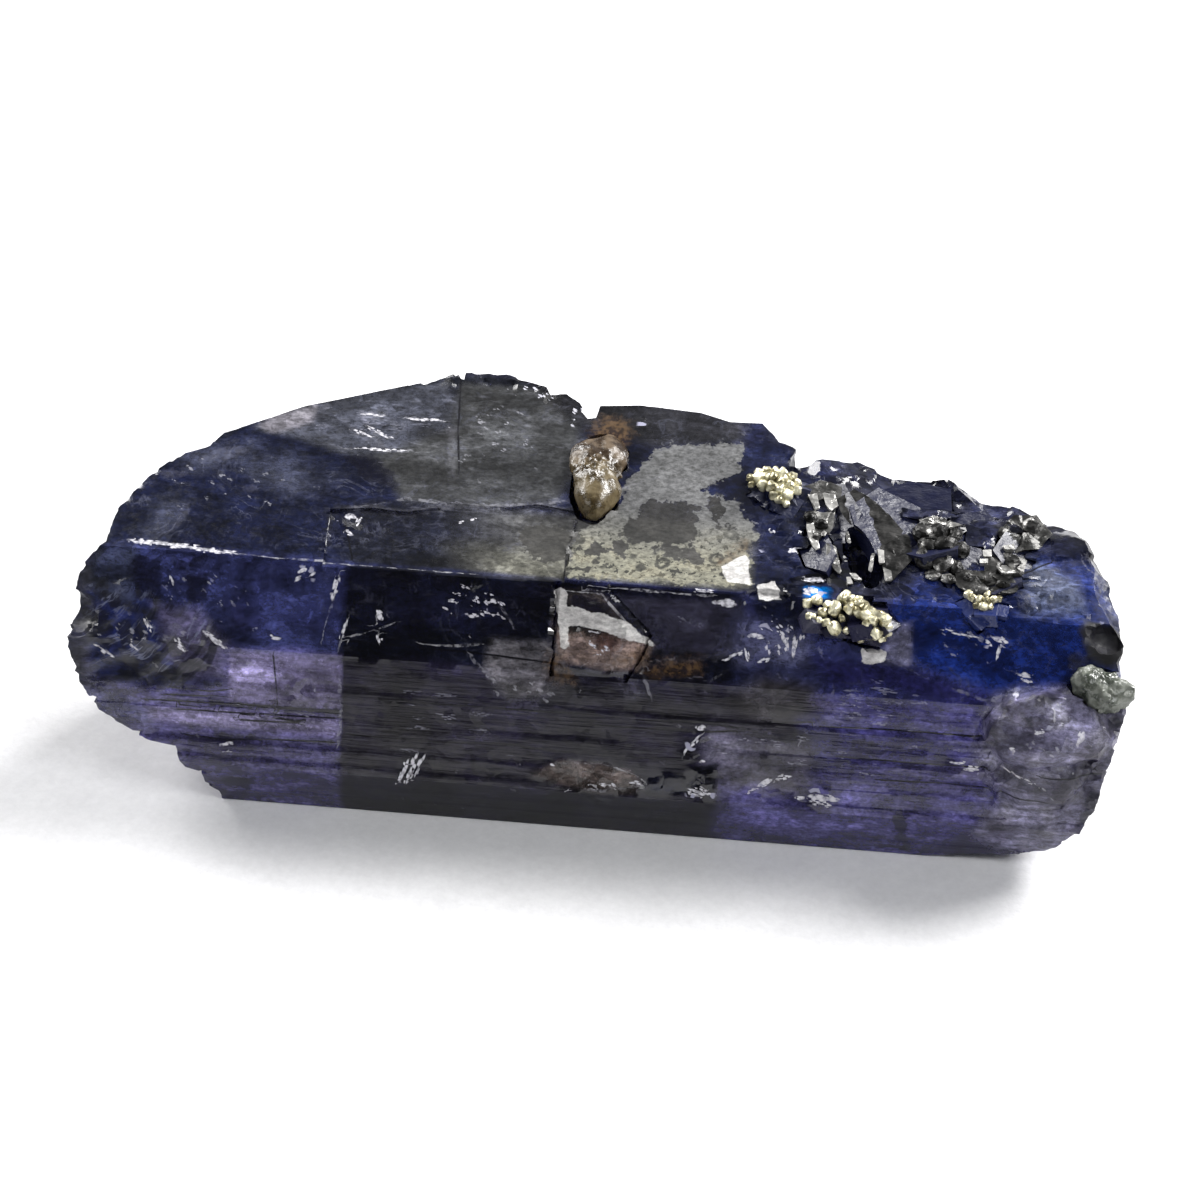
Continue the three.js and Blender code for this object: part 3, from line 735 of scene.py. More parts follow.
# the chip under the ridge, with a rusty corner
chip = ease(chip_depth, -0.05, 0.08)
wash(chip, (0.045, 0.038, 0.036), 0.25, 0.15)
wash(chip * ease(around, 1.1, 1.25), (0.125, 0.092, 0.080), 0.2, 0.2)
wash(
    patch([(-0.13, 1.24), (0.24, 1.12), (0.6, 1.33), (0.43, 1.63), (0.04, 1.61)], 0.1, 0.1) * 0.8,
    (0.040, 0.018, 0.014),
)
# the pale lens low on the front
lens = ease(lens_depth, -0.1, 0.1)
wash(lens * (1 - ease(along, 1.0, 1.5)), (0.060, 0.048, 0.044), 0.25, 0.2)
wash(lens * ease(along, 1.0, 1.5), INK, 0.4, 0.1)
# one facet with a painted bright blue flash
wash(
    patch([(4.85, -0.35), (5.45, -0.35), (5.45, 0.0), (4.85, 0.0)], 0.05, 0.06), (0.01, 0.22, 0.75), 0.2,
    0.1,
)

quiet = ease(-around, 0.2, 0.8) * (1 - ease(-around, 5.5, 6.5)) * (1 - ease(along, -5.5, -4.5))
frosting = np.maximum.reduce([
    lilac_patch, 0.6 * grey_patch, 0.35 * strip, 0.28 * on_top, 0.7 * broken_top, 0.8 * chip, 0.8 * lens,
    0.6 * front_low * left_part, 0.55 * front_low * right_part, 0.16 * front_low, 0.6 * knob_zone,
    0.25 * on_bevel,
    0.8 * patch(
        [
            (-6.81, -1.84), (-5.15, -2.23), (-3.68, -2.31), (-1.73, -2.37), (-1.38, -1.98), (-2.19, -2.16),
            (-3.76, -1.98), (-6.28, -1.67),
        ],
        0.1, 0.1,
    ),
    0.7 * patch(
        [
            (-2.95, 1.96), (-2.26, 1.55), (-0.9, 1.44), (0.16, 1.89), (1.58, 1.73), (1.41, 2.85),
            (-1.1, 3.06), (-2.07, 3.06), (-2.68, 2.55),
        ],
        0.3, 0.2,
    ),
])
threads = np.maximum.reduce([
    0.8 * quiet, 0.5 * on_top, 0.6 * broken_top, 0.5 * ease(along, 6.0, 7.0) * on_bevel, 0.35 * on_bevel,
])
mottle = cloud(skin * (0.6, 1, 1), 0.9, 101) + 0.6 * cloud(skin * (0.7, 1, 1), 0.42, 102)
mottle += 0.35 * cloud(skin, 0.2, 103)
mottle *= 1 - 0.4 * quiet
block = blocks(np.stack([along * 0.55, around * 1.1, 0 * along], 1), 1.0, 104) - 0.5
block += 0.8 * (blocks(np.stack([along * 0.8, around * 1.2, 0 * along + 5], 1), 0.42, 105) - 0.5)
# painted shade: faces that turn towards the right end are darkened
right_end_shade = ease(facing[:, 0], 0.5, 0.8) * (1 - 0.6 * knob_zone)
colour *= (1 - 0.45 * right_end_shade)[:, None]
colour *= np.exp(0.60 * mottle + 0.45 * block * np.maximum(1 - on_top, broken_top))[:, None]
print(
    "zone colour mean", np.round(colour.mean(0), 3), "clear", round(clear.mean(), 2), "dull",
    round(dull.mean(), 2),
)

# %% [markdown]
# ## Marks drawn on the chart
# The stone is covered in marks with crisp edges: a silvery skin of other minerals with dark islands, its
# sheen painted, dark glassy windows, frosted scars, white chipped tiles, rust, cracks, a painted highlight
# along the ridge and hundreds of small flakes whose glints are painted. Each list below gives their corners
# on the chart, in mm. For each kind the skin's points carry their depth inside the outline or their
# distance from the line. The shader then cuts the edge between the points, so a crack can be far thinner
# than a face of the skin. Three marks share one layer of vectors, which the renderer reads at one go.

# %% Marks drawn on the chart
SILVER = (
    # the smooth grey sheet at the back, a film whose sheen is painted
    [(0.86, -4.37), (1.26, -4.61), (2.96, -4.88), (3.05, -3.95), (2.54, -3.6), (2.11, -3.23),
     (2.97, -2.92), (3.62, -1.88), (3.44, -1.64), (3.53, -0.35), (2.79, -0.19), (-0.76, -0.09),
     (-0.84, -0.75), (-0.66, -1.66), (-0.1, -2.23), (0.15, -2.65), (0.37, -3.26), (0.54, -3.94)],
)
ISLANDS = (
    [
        (-2.14, -1.39), (-1.89, -1.74), (-1.16, -1.74), (-0.73, -1.59), (-0.79, -1.1), (-0.88, -0.68),
        (-1.37, -0.54), (-1.8, -0.65),
    ],
    [(0.39, -1.38), (0.46, -2.03), (0.81, -2.55), (1.03, -2.83), (1.36, -2.73), (1.78, -2.64),
     (2.09, -2.44), (2.12, -1.87), (1.97, -1.44), (1.42, -1.22), (0.94, -1.4)],
    [(1.08, -1.19), (1.5, -1.33), (2.21, -1.23), (2.32, -0.86), (1.84, -0.82), (1.44, -1)],
    [(-0.36, -1.14), (-0.18, -1.29), (-0.1, -0.95), (-0.17, -0.75), (-0.33, -0.86)],
    [(0.01, -1.31), (0.28, -1.43), (0.5, -1.23), (0.49, -0.91), (0.19, -0.94)],
    [(2.4, -2.96), (2.53, -3.14), (2.69, -2.73), (2.62, -2.17), (2.44, -2.28)],
    [(2.62, -2.01), (2.81, -2.22), (3.11, -2.12), (2.99, -1.92)],
    [(2, -2.66), (2.22, -2.65), (2.21, -2.42), (2.02, -2.41)],
    [(-0.59, -0.45), (-0.28, -0.45), (-0.31, -0.32), (-0.58, -0.33)],
    [(0.21, -0.34), (0.51, -0.31), (0.47, -0.21), (0.23, -0.22)],
)
DARK_GLASS = (
    # the needle cut that splits the silver
    [(2.06, -3.23), (2.9, -3.67), (3.49, -3.96), (4.21, -4.09), (3.52, -3.56), (2.92, -3.41)],
    # dark windows in the bevel
    [(-11.26, 0.23), (-10.58, 0.15), (-10.5, 1.18), (-11.18, 1.26)],
    [(-10.33, 0.28), (-9.74, 0.21), (-9.68, 0.42), (-10.26, 0.51)],
    [(-9.96, 0.59), (-9.45, 0.55), (-9.35, 1.17), (-9.86, 1.23)],
    [(-0.6, 0.4), (-0, 0.37), (0.24, 0.69), (0.07, 0.75), (-0.29, 0.68), (-0.61, 0.61)],
    # shell ribs
    [(-12.22, 1.09), (-11.83, 1.11), (-11.27, 1.31), (-10.76, 1.54), (-10.71, 1.63), (-11, 1.65),
     (-11.55, 1.57), (-12.06, 1.32)],
    [(-12.48, 1.64), (-12.12, 1.47), (-11.69, 1.59), (-11.82, 1.84), (-11.5, 2.25), (-11.79, 2.53),
     (-12.14, 2.3), (-12.4, 2.03)],
    [(-11.47, 1.67), (-11.24, 1.74), (-11.15, 2.22), (-11.35, 2.44), (-11.55, 2.11)],
    [(-11.04, 1.78), (-10.81, 2.19), (-10.71, 2.7), (-10.96, 2.67), (-11.1, 2.22)],
    [(-10.71, 2.34), (-10.52, 2.55), (-10.47, 2.78), (-10.71, 2.75)],
    [(-10.79, 2.86), (-10.34, 2.77), (-9.98, 2.95), (-10.07, 3.11), (-10.59, 3.1)],
    [(-9.44, 3.08), (-9.19, 3.14), (-8.95, 3.12), (-8.99, 3.33), (-9.39, 3.31)],
    [(-11.45, 2.65), (-11.11, 2.52), (-11.01, 2.93), (-11.4, 2.96)],
    # long deep growth grooves
    [(-10.84, 3.69), (-8.5, 3.62), (-6.1, 3.58), (-6.1, 3.68), (-8.5, 3.7), (-10.84, 3.76)],
    [(-9.85, 4.54), (-7.76, 4.44), (-7.76, 4.54), (-8.99, 4.65)],
    [(-9.02, 5.74), (-8.2, 5.71), (-8.29, 6.14), (-8.94, 6.15)],
    [(2.28, 2.63), (2.59, 2.58), (3.09, 2.69), (3.05, 2.77), (2.59, 2.7)],
    [(3.51, 3.34), (4.3, 3.35), (5.16, 3.43), (5.16, 3.56), (4.3, 3.48)],
    [(4.77, 3.34), (5.72, 3.33), (6.91, 3.36), (6.91, 3.44), (5.73, 3.43)],
    [(1, 4.47), (1.72, 4.36), (2.44, 4.35), (2.98, 4.59), (2.46, 4.81), (1.38, 4.88)],
    [(-1.32, 2.95), (-0.75, 2.85), (-0.67, 3), (-1.22, 3.12)],
    [(-1.06, 2.32), (-0.5, 2.08), (-0.33, 2.41), (-0.75, 2.75), (-1.23, 2.79)],
    # the pit at the right end
    [(11.51, 0.27), (11.68, 0.07), (12, 0.04), (12.23, 0.31), (12.23, 0.59), (11.87, 0.83), (11.6, 0.64)],
    [(10.49, 1.99), (10.64, 1.84), (11.01, 1.79), (11.07, 1.9), (10.8, 2.11), (10.58, 2.27)],
    [(10.16, 2.25), (10.44, 2.18), (10.5, 2.38), (10.27, 2.42)],
    [(12.16, 2.24), (12.49, 2.26), (12.47, 2.51), (12.19, 2.49)],
    [(11.7, 4.4), (12.1, 4.11), (12.4, 4.34), (12.16, 4.82), (11.76, 5.06)],
    [(7.36, 5.09), (7.54, 5.02), (7.78, 6.51), (7.52, 6.55)],
    [(9.34, -3.47), (10.07, -3.22), (10.68, -2.76), (10.53, -2.49), (9.85, -2.68), (9.36, -2.95)],
    [(6.4, -4.24), (7.39, -3.94), (8.37, -3.61), (8.26, -3.46), (7.28, -3.7), (6.36, -4)],
    [(-6.71, -3.48), (-6.06, -3.64), (-5.48, -3.09), (-5.24, -2.52), (-5.83, -2.66), (-6.36, -3.01)],
)
PALE_FROST = (
    # the bar and streaks on the grey top
    [(-4.4, -4.71), (-4.13, -4.74), (-3.88, -2.98), (-4.05, -2.97)],
    [(-6.58, -4.95), (-6.09, -5.03), (-5.53, -4.88), (-5.91, -4.7), (-6.5, -4.78)],
    [(-6.88, -4.51), (-6.43, -4.35), (-5.65, -3.88), (-6, -3.85), (-6.65, -4.19)],
    [(-8.13, -5.14), (-7.6, -5.33), (-7.36, -5.11), (-7.75, -4.73), (-8.28, -4.58)],
    # wisps in the top left
    [(-10.29, -2.96), (-9.94, -3.33), (-9.36, -3.59), (-9.05, -3.42), (-9.33, -3.19), (-9.87, -2.97)],
    [(-11.26, -2.54), (-10.88, -2.64), (-10.4, -2.49), (-10.82, -2.35)],
    [(-9.11, -2.15), (-8.83, -2.37), (-8.55, -2.2), (-8.81, -1.98)],
    [(-10.35, -1.73), (-10.23, -1.38), (-10.32, -0.85), (-10.49, -0.48), (-10.44, -0.97)],
    # pale walls of the chip
    [(-0.99, 0.26), (-0.78, 0.29), (-0.69, 0.76), (-0.64, 1.42), (-0.49, 1.89), (-0.73, 1.79),
     (-0.88, 1.44)],
    [(-0.66, 1.78), (0.16, 1.93), (1.11, 1.86), (1.46, 1.74), (2.52, 1.59), (3.1, 1.42), (3.18, 1.54),
     (2.3, 1.75), (1.12, 2), (0.18, 2.12), (-0.5, 2.08)],
    [(0.46, 2.01), (0.81, 1.98), (1.05, 2.35), (1.19, 2.74), (0.88, 2.82), (0.67, 2.43)],
    [(-2.7, 2.15), (-2.55, 2.24), (-2, 2.85), (-2.19, 2.95), (-2.49, 2.59)],
    [(-2.45, 1.61), (-0.93, 1.45), (-0.89, 1.56), (-2.35, 1.74)],
    [(-2.02, 3.01), (-1.23, 2.89), (-1.07, 3.24), (-1.89, 3.36)],
    # facets of the shell break
    [(-9.47, 1.8), (-9.22, 1.83), (-8.86, 2.09), (-8.78, 2.34), (-9.15, 2.21)],
    # violet stripes
    [(-8.75, 2.64), (-8.02, 2.53), (-7.75, 2.71), (-7.97, 3.14), (-8.5, 3.18), (-8.75, 3.05)],
    [(-10.22, 3.89), (-8.99, 3.87), (-7.86, 3.93), (-7.96, 4.27), (-9.24, 4.33), (-10.07, 4.24)],
    [(-10.47, 3.6), (-8.75, 3.54), (-8.8, 3.65), (-10.47, 3.71)],
    [(-7.64, 3.53), (-6.18, 3.46), (-6.2, 3.56), (-7.62, 3.65)],
    [(5.14, 3.18), (5.41, 2.85), (5.87, 2.66), (5.93, 2.91), (5.47, 3.2)],
    [(6.16, 2.74), (7.45, 2.68), (7.34, 2.79), (6.17, 2.89)],
    [(7.35, 2.94), (8.53, 3), (8.83, 3.25), (8.5, 3.28), (7.72, 3.16)],
    [(6.07, 3.3), (6.91, 3.49), (6.11, 3.5)],
    [(-9.49, 5.31), (-7.01, 5.21), (-4.46, 5.07), (-4.46, 5.17), (-7.02, 5.35), (-9.51, 5.52)],
    [(3.09, 3.55), (4.06, 3.47), (4.93, 3.65), (4.32, 3.81), (3.37, 3.79)],
    [(7.07, 5.01), (8.91, 4.87), (9.15, 4.93), (7.15, 5.13)],
    # frosted patch at the top right
    [(10.45, -1.85), (11.3, -1.87), (11.46, -1.03), (11.43, -0.38), (10.87, -0.51), (10.57, -0.95)],
    [(5.53, -4.02), (5.86, -4.19), (6.19, -4.08), (6.18, -3.75), (5.76, -3.55)],
    [(6.8, -2.77), (7.08, -2.9), (7.24, -2.68), (7.26, -2.36), (7, -2.28), (6.82, -2.51)],
    [(7.32, -2.56), (7.44, -2.9), (7.87, -3.04), (8.17, -2.71), (7.82, -2.68)],
    [(8.24, -3.82), (8.49, -3.75), (9.06, -3.28), (8.84, -2.84), (8.58, -3.23), (8.26, -3.5)],
    [(9.03, -2.86), (9.21, -3.26), (9.38, -3.15), (9.4, -2.73)],
    [(6.88, 0.66), (7.46, 0.55), (7.52, 1.47), (6.94, 1.2)],
    # cracked skin beside the knobs
    [(11.16, 0.88), (11.45, 0.79), (11.62, 1.15), (11.4, 1.36), (11.21, 1.23)],
    [(2.83, -0.79), (3.18, -1.08), (3.43, -1.26), (3.56, -0.29), (3.04, -0.31)],
)
WHITE_TILES = (
    [(3.73, -0.28), (4.14, -0.45), (4.38, 0.09), (3.79, 0.14)],
    [(6.3, 1.11), (6.55, 1.04), (6.89, 1.14), (6.91, 1.37), (6.32, 1.46)],
    [
        (-0.82, 0.65), (-0.61, 0.61), (-0.22, 0.7), (0.22, 0.74), (0.61, 0.85), (0.96, 1.06), (1.31, 1.28),
        (1.46, 1.41), (1.08, 1.36), (0.59, 1.26), (0.1, 1.13), (-0.38, 1.07), (-0.67, 1.07),
    ],
    [(-1.04, 0.26), (-0.88, 0.2), (-0.75, 0.33), (-0.69, 0.76), (-0.6, 1.66), (-0.79, 1.63), (-0.93, 0.85)],
    [(2.83, -0.79), (3.18, -1.08), (3.43, -1.26), (3.56, -0.29), (3.04, -0.31)],
)
# Flakes with a place of their own, their brightness a painted glint: middle, half length, half width and
# turn in degrees; a multiple of 3
FLAKES = (
    (-4.48, 5.05, 0.39, 0.039, -73), (-4.3, 4.98, 0.48, 0.045, -72), (-4.14, 4.96, 0.4, 0.039, -66),
    (-4.59, 5.33, 0.19, 0.034, -62), (5.65, 4.89, 0.4, 0.079, 1), (5.13, 4.96, 0.12, 0.045, 3),
    (5.61, 5.04, 0.24, 0.034, 5), (2.71, 4.97, 0.35, 0.045, 14), (2.59, 5.05, 0.15, 0.045, 13),
    (2.8, 4.89, 0.12, 0.034, 10), (-8.82, 4.7, 0.17, 0.045, -10), (-8.81, 4.92, 0.14, 0.025, -5),
    (8.75, 3.7, 0.2, 0.029, -1), (9.11, 3.83, 0.16, 0.034, 5), (3.81, 1, 0.22, 0.056, -1),
    (4.51, 1.08, 0.22, 0.045, 75), (4.71, 1.17, 0.23, 0.051, 96), (4.11, 1.24, 0.15, 0.034, 86),
    (4.01, 1.56, 0.14, 0.034, -21), (4.35, 1.28, 0.14, 0.029, 64), (4.89, 0.93, 0.09, 0.034, 104),
    (3.62, 1.46, 0.14, 0.028, 69), (10.57, 2.53, 0.13, 0.045, -12), (11.54, 2.64, 0.17, 0.067, 101),
    (10.03, 3.07, 0.08, 0.045, -5), (10.88, 2.22, 0.13, 0.025, 50), (4.27, 4.61, 0.2, 0.056, -33),
    (4.66, 4.42, 0.2, 0.034, -13), (3.95, 4.84, 0.12, 0.034, -20), (2.63, 3.35, 0.1, 0.056, -15),
    (2.74, 4.18, 0.09, 0.034, 5), (2.51, 3.68, 0.17, 0.031, 133), (2.36, 3.92, 0.14, 0.029, 117),
    (-7.65, 1.89, 0.13, 0.039, 2), (-7.13, 0.26, 0.1, 0.045, -22), (-7.21, 0.44, 0.1, 0.034, -31),
    (-6.93, 0.36, 0.11, 0.034, -38), (-10.3, 0.75, 0.13, 0.029, 67), (-5.21, 1.18, 0.11, 0.062, 47),
    (-5.17, 1.72, 0.1, 0.036, 67), (-3.46, 0.72, 0.12, 0.045, 3), (-3.39, 0.52, 0.1, 0.025, 19),
    (-2.56, 0.67, 0.13, 0.045, -11), (-2.99, 1.02, 0.18, 0.038, 0),
    (-2.7, 0.95, 0.12, 0.028, 16), (-2.35, 0.97, 0.18, 0.034, 9), (-3.17, 0.36, 0.13, 0.025, 28),
    (-3.6, 0.93, 0.11, 0.028, 25), (-3, 1.53, 0.05, 0.034, -4), (-6.24, -1.57, 0.18, 0.079, 22),
    (-6.22, -1.07, 0.15, 0.056, 36), (-6.04, -1.43, 0.12, 0.034, -78), (-6.32, 0.63, 0.3, 0.051, 101),
    (-6.05, 1.69, 0.17, 0.034, 104), (-5.99, 1.51, 0.2, 0.028, 101), (-3.31, -1.78, 0.07, 0.034, -24),
    (-3.57, -1.65, 0.08, 0.028, -21), (-6.26, -4.91, 0.33, 0.034, 1), (-4.92, -4.88, 0.49, 0.039, 1),
    (-6.44, -4.28, 0.33, 0.028, 20), (-6, -4.34, 0.42, 0.028, 28), (-5.9, -3.79, 0.7, 0.028, -3),
    (3.93, -2.03, 0.06, 0.045, 19), (4.54, -1.49, 0.16, 0.067, -20), (5.05, -0.6, 0.25, 0.09, 3),
    (5.03, -0.2, 0.19, 0.101, 1), (-0.9, 4.57, 0.07, 0.034, 10), (-0.48, 5.21, 0.08, 0.034, 7),
    (0.14, 5.05, 0.13, 0.045, 33), (0.4, 4.98, 0.12, 0.034, 3), (0.64, 5, 0.09, 0.034, 43),
    (1.14, 4.91, 0.19, 0.028, 8), (9.5, 0.63, 0.2, 0.051, 12), (9.5, 0.96, 0.2, 0.045, 102),
    (10.12, 1.42, 0.21, 0.045, 6), (10.2, 1.55, 0.12, 0.034, 16), (9.24, 0.73, 0.1, 0.034, 41),
    (8.65, 0.57, 0.49, 0.022, 8), (-10.45, -0.18, 1.0, 0.075, 3), (-9.4, -0.1, 0.6, 0.05, 2),
    (3, 0.27, 0.29, 0.079, -4), (10.25, 3.81, 0.53, 0.022, 18), (-0.02, 1.16, 0.14, 0.028, 7),
    (3.28, 1.51, 0.27, 0.034, -26), (2.47, 0.02, 0.23, 0.034, 2), (-9.95, 2.28, 0.21, 0.034, 48),
    (-9.12, 2.08, 0.34, 0.056, 31), (-11.86, 2.55, 0.27, 0.045, 31), (-11.12, 2.36, 0.16, 0.034, 52),
    (-10.78, 1.81, 0.23, 0.034, 62),
)
# Patches of strewn flakes: middle, reach along and around, and what share of the cells there hold a flake
LONG_STREWN = (
    (-6.26, -4.62, 1.30, 0.62, 0.80), (-7.52, 3.88, 1.35, 0.25, 0.90), (-7.77, 2.66, 0.97, 0.36, 0.80),
    (6.84, 2.40, 1.64, 0.56, 0.80), (4.31, 3.63, 1.42, 0.51, 0.60), (-3.86, 3.67, 1.93, 0.78, 0.35),
    (5.99, 3.92, 1.42, 0.41, 0.45), (-3.79, -2.20, 1.45, 0.10, 0.90),
)
SHORT_STREWN = (
    (-2.98, -4.34, 1.35, 1.32, 0.20), (10.87, 2.95, 0.93, 1.26, 0.26), (-9.57, 1.14, 1.45, 0.72, 0.22),
    (8.60, 0.72, 1.39, 0.59, 0.28), (-1.72, 2.73, 0.96, 0.36, 0.55), (-9.63, -2.36, 1.47, 0.97, 0.20),
    (-10.71, 2.19, 1.09, 0.51, 0.50),
)
BRIGHT_STREWN = (
    (-2.62, 0.62, 0.57, 0.28, 0.90), (4.26, 0.77, 0.57, 0.33, 0.90), (0.13, 1.56, 0.62, 0.23, 0.60),
    (11.05, 2.23, 0.51, 0.40, 0.55), (-2.33, -6.04, 0.85, 0.34, 0.50), (-1.24, -5.35, 0.30, 0.40, 0.70),
    (5.68, -2.21, 1.43, 0.44, 0.20),
)


def strewn(patches):
    """The share of cells with a flake at each point: the highest of share times exp(-2 d squared)."""
    share = np.zeros(len(skin))
    for x, y, reach_x, reach_y, most in patches:
        way = ((along - x) / reach_x) ** 2 + ((around - y) / reach_y) ** 2
        share = np.maximum(share, most * np.exp(-2 * way))
    return share


RUST = (
    [(-0.81, -4.95), (-0.51, -5.36), (0.09, -5.31), (0.21, -4.71), (-0.03, -4.22), (-0.38, -4.25)],
    [(-1.09, 1.82), (-0.81, 1.75), (-0.59, 2.04), (-0.43, 2.47), (-0.81, 2.45), (-1.11, 2.22)],
    [(1.11, 1.86), (2.53, 1.66), (2.55, 1.94), (1.37, 2.08)],
    [(2.79, -0.97), (3, -1.28), (3.3, -1.63), (3.37, -1.35), (3.14, -1.07), (2.9, -0.79)],
    [(0.59, 1.85), (1.09, 1.53), (1.33, 1.63), (1.11, 1.84)],
)
BRIGHT_LINES = (
    # the painted highlight along the ridge, a cream line
    [(-11.35, -0.21), (-10.68, -0.21), (-9.69, -0.14), (-8.91, -0.06), (-7.76, -0.01)],
    [(-11.38, -0.27), (-10.2, -0.22), (-8.9, -0.12)],
    [(-7.76, -0.01), (-6.26, -0.03), (-2.99, -0.03)],
    [(-0.22, 0.1), (2.7, 0.13)],
    [(-6.25, 0.29), (-6.35, 0.9), (-6.48, 1.43), (-6.54, 1.87)],
    [(-6.3, 0.65), (-6.38, 1.09)],
    [(-5.95, 1.32), (-6.05, 1.67), (-6.12, 2.01)],
    [(-5.9, 1.75), (-5.38, 1.57), (-4.81, 1.33)],
    [(-5.29, 1.11), (-5.17, 1.77)],
    [(-4.17, 1.79), (-3.45, 1.78), (-2.76, 1.7)],
    [(-0.92, 0.25), (0.08, 0.27), (0.55, 0.76), (1.31, 1.32)],
    [(0.72, 4.55), (1.13, 4.67), (1.35, 4.83)],
    [(2.64, 3.52), (2.41, 3.79), (2.28, 4.06)],
)
FAINT_LINES = (
    [(-5.04, -2.21), (-4.4, -2.18), (-3.22, -2.16)],
    [(-3.22, -2.16), (-2.21, -2.29), (-1.01, -2.54)],
    [(-6.81, -1.71), (-6.07, -1.85), (-5.04, -2.18)],
    [(-5.39, -4.92), (-4.94, -4.93), (-4.42, -4.85)],
    [(-6.75, -3.74), (-5.91, -3.75), (-5.19, -3.79)],
    [(-0.49, 1.17), (0.14, 1.6), (-0.19, 1.96)],
    [(0.11, 1.22), (0.43, 1.7), (1.11, 1.77)],
    [(0.65, 1.44), (0.46, 2.01)],
    [(8.18, 0.49), (9.13, 0.64)],
    [(9.33, 0.57), (9.62, 0.65), (9.55, 0.93), (9.48, 1.22), (9.67, 1.3)],
    [(9.89, 1.38), (10.34, 1.56)],
    [(9.73, 3.65), (10.24, 3.76), (10.75, 4)],
    [(9.4, 2.08), (9.29, 2.53), (9.44, 3.2)],
    [(9.4, 2.08), (9.85, 1.81), (10.54, 1.66), (11.15, 1.75)],
    [(11.49, -2.04), (11.97, -1.3), (12.25, -0.49)],
    [(11.35, -1.93), (11.84, -1.1), (12.11, -0.45)],
    [(3.51, 0.87), (3.38, 1.31), (3.59, 1.58)],
    [(3.25, 1.77), (2.58, 2.38), (3.06, 2.51)],
    [(5.34, 1.21), (5.76, 2.12), (5.35, 3.03), (5.02, 3.49)],
    [(-0.29, -2.61), (0.26, -3.12), (0.96, -3.48)],
    [(6.91, 3.41), (8.44, 3.41), (9.38, 3.38)],
    [(6.9, 1.32), (7.97, 1.71), (9.28, 2.08)],
    [(-0.52, 4.5), (0.25, 4.46), (0.72, 4.55)],
    [(-0.66, 5.16), (0.3, 5.13), (1.26, 4.94)],
    [(-6.12, 2.71), (-6.03, 3.6), (-6.09, 4.48)],
    [(-2.95, 1.96), (-2.2, 2.77), (-1.71, 2.98)],
    [(0.16, 1.93), (1.11, 1.86), (2.28, 1.56)],
    [(1.11, 1.81), (1.45, 2.72)],
    [(-2.76, 0.08), (-2.39, 0.6), (-1.96, 1.19)],
)
DARK_LINES = (
    [(-7.7, 2.35), (-7.62, 3.09), (-7.57, 3.78)],
    [(-4.25, -6.41), (-4.16, -5.59), (-4.06, -4.57), (-3.84, -3.25)],
    [(-10, 3.9), (-8.01, 3.87), (-6.17, 3.82)],
    [(-0.78, 2.1), (0.18, 2.22), (1.61, 2.18)],
    [(-5.09, 3.26), (-2.66, 3.24), (0.23, 3.21)],
    [(-0, 3.48), (2.63, 3.44), (3.51, 3.34)],
    [(-6.08, 1.84), (-2.96, 1.89), (-0.79, 2.01)],
    [(-2.15, 4.17), (0.75, 4.24), (2.67, 4.15)],
    [(1.19, 3.25), (4.04, 3.12), (5.22, 2.97)],
    [(-5.8, 4.22), (-3.61, 4.22), (-1.67, 4.11)],
    [(5.47, 3.07), (6.88, 3.01), (9.24, 3.01)],
    [(5.99, 3.79), (7.41, 3.8), (9.42, 3.78)],
    [(6.97, 4.3), (8.39, 4.25), (9.57, 4.28)],
    [(-0.86, -0.08), (-0.91, -1.09), (-0.77, -1.75)],
    [(10.6, -1.73), (9.45, -0.84)],
    [(3.05, -3.91), (2.09, -3.23)],
    [(10.7, 3.72), (12.11, 3.73)],
    [(9.81, 4.31), (11.23, 4.44)],
    [(-8.5, 4.06), (-7.03, 4.02)],
    [(-10.84, 3.72), (-8.5, 3.66), (-6.1, 3.63)],
    [(-9.85, 4.56), (-8.9, 4.6), (-7.7, 4.5), (-6.2, 4.45)],
    [(-10.2, 3.35), (-9.2, 3.38), (-8.8, 3.3)],
    [(-6.36, -1.37), (-6, -0.25)],
)
# Spots where small facets glint, by tilted normals and by painted glints: middle and radius
GLINTS = (
    (-7.07, 0.4, 0.4), (-2.86, 0.73, 0.8), (4.2, 1.17, 0.8), (-6.24, -1.38, 0.45), (9.55, 0.93, 0.5),
    (10.1, 1.48, 0.45), (2.58, 3.78, 0.5), (2.71, 4.95, 0.5), (4.25, 4.63, 0.5), (5.63, 4.9, 0.5),
    (8.75, 3.74, 0.4), (10.69, 2.09, 0.5), (0.3, 5, 0.7), (8.39, -3.28, 0.7), (5.93, -3.86, 0.6),
    (3.38, -1.03, 0.7), (5.23, -0.27, 0.5), (-9.73, 2.49, 0.6), (-7.04, 3.17, 0.5), (-6.01, -4.56, 0.7),
    (4.29, -3.05, 0.5), (-2.06, -5.96, 0.8), (0.78, -5.21, 0.6),
)
glints = np.zeros(len(skin))
for x, y, radius in GLINTS:
    glints = np.maximum(glints, 1 - ease(np.hypot(along - x, around - y), 0.5 * radius, radius))
bright_gap, bright_side = line_distance(chart, *BRIGHT_LINES)
faint_gap, faint_side = line_distance(chart, *FAINT_LINES)
dark_gap, dark_side = line_distance(chart, *DARK_LINES)
calm_ends = (1 - 0.75 * ease(-facing[:, 0], 0.6, 0.85) * (1 - scoop)) * (1 - 0.6 * on_back)
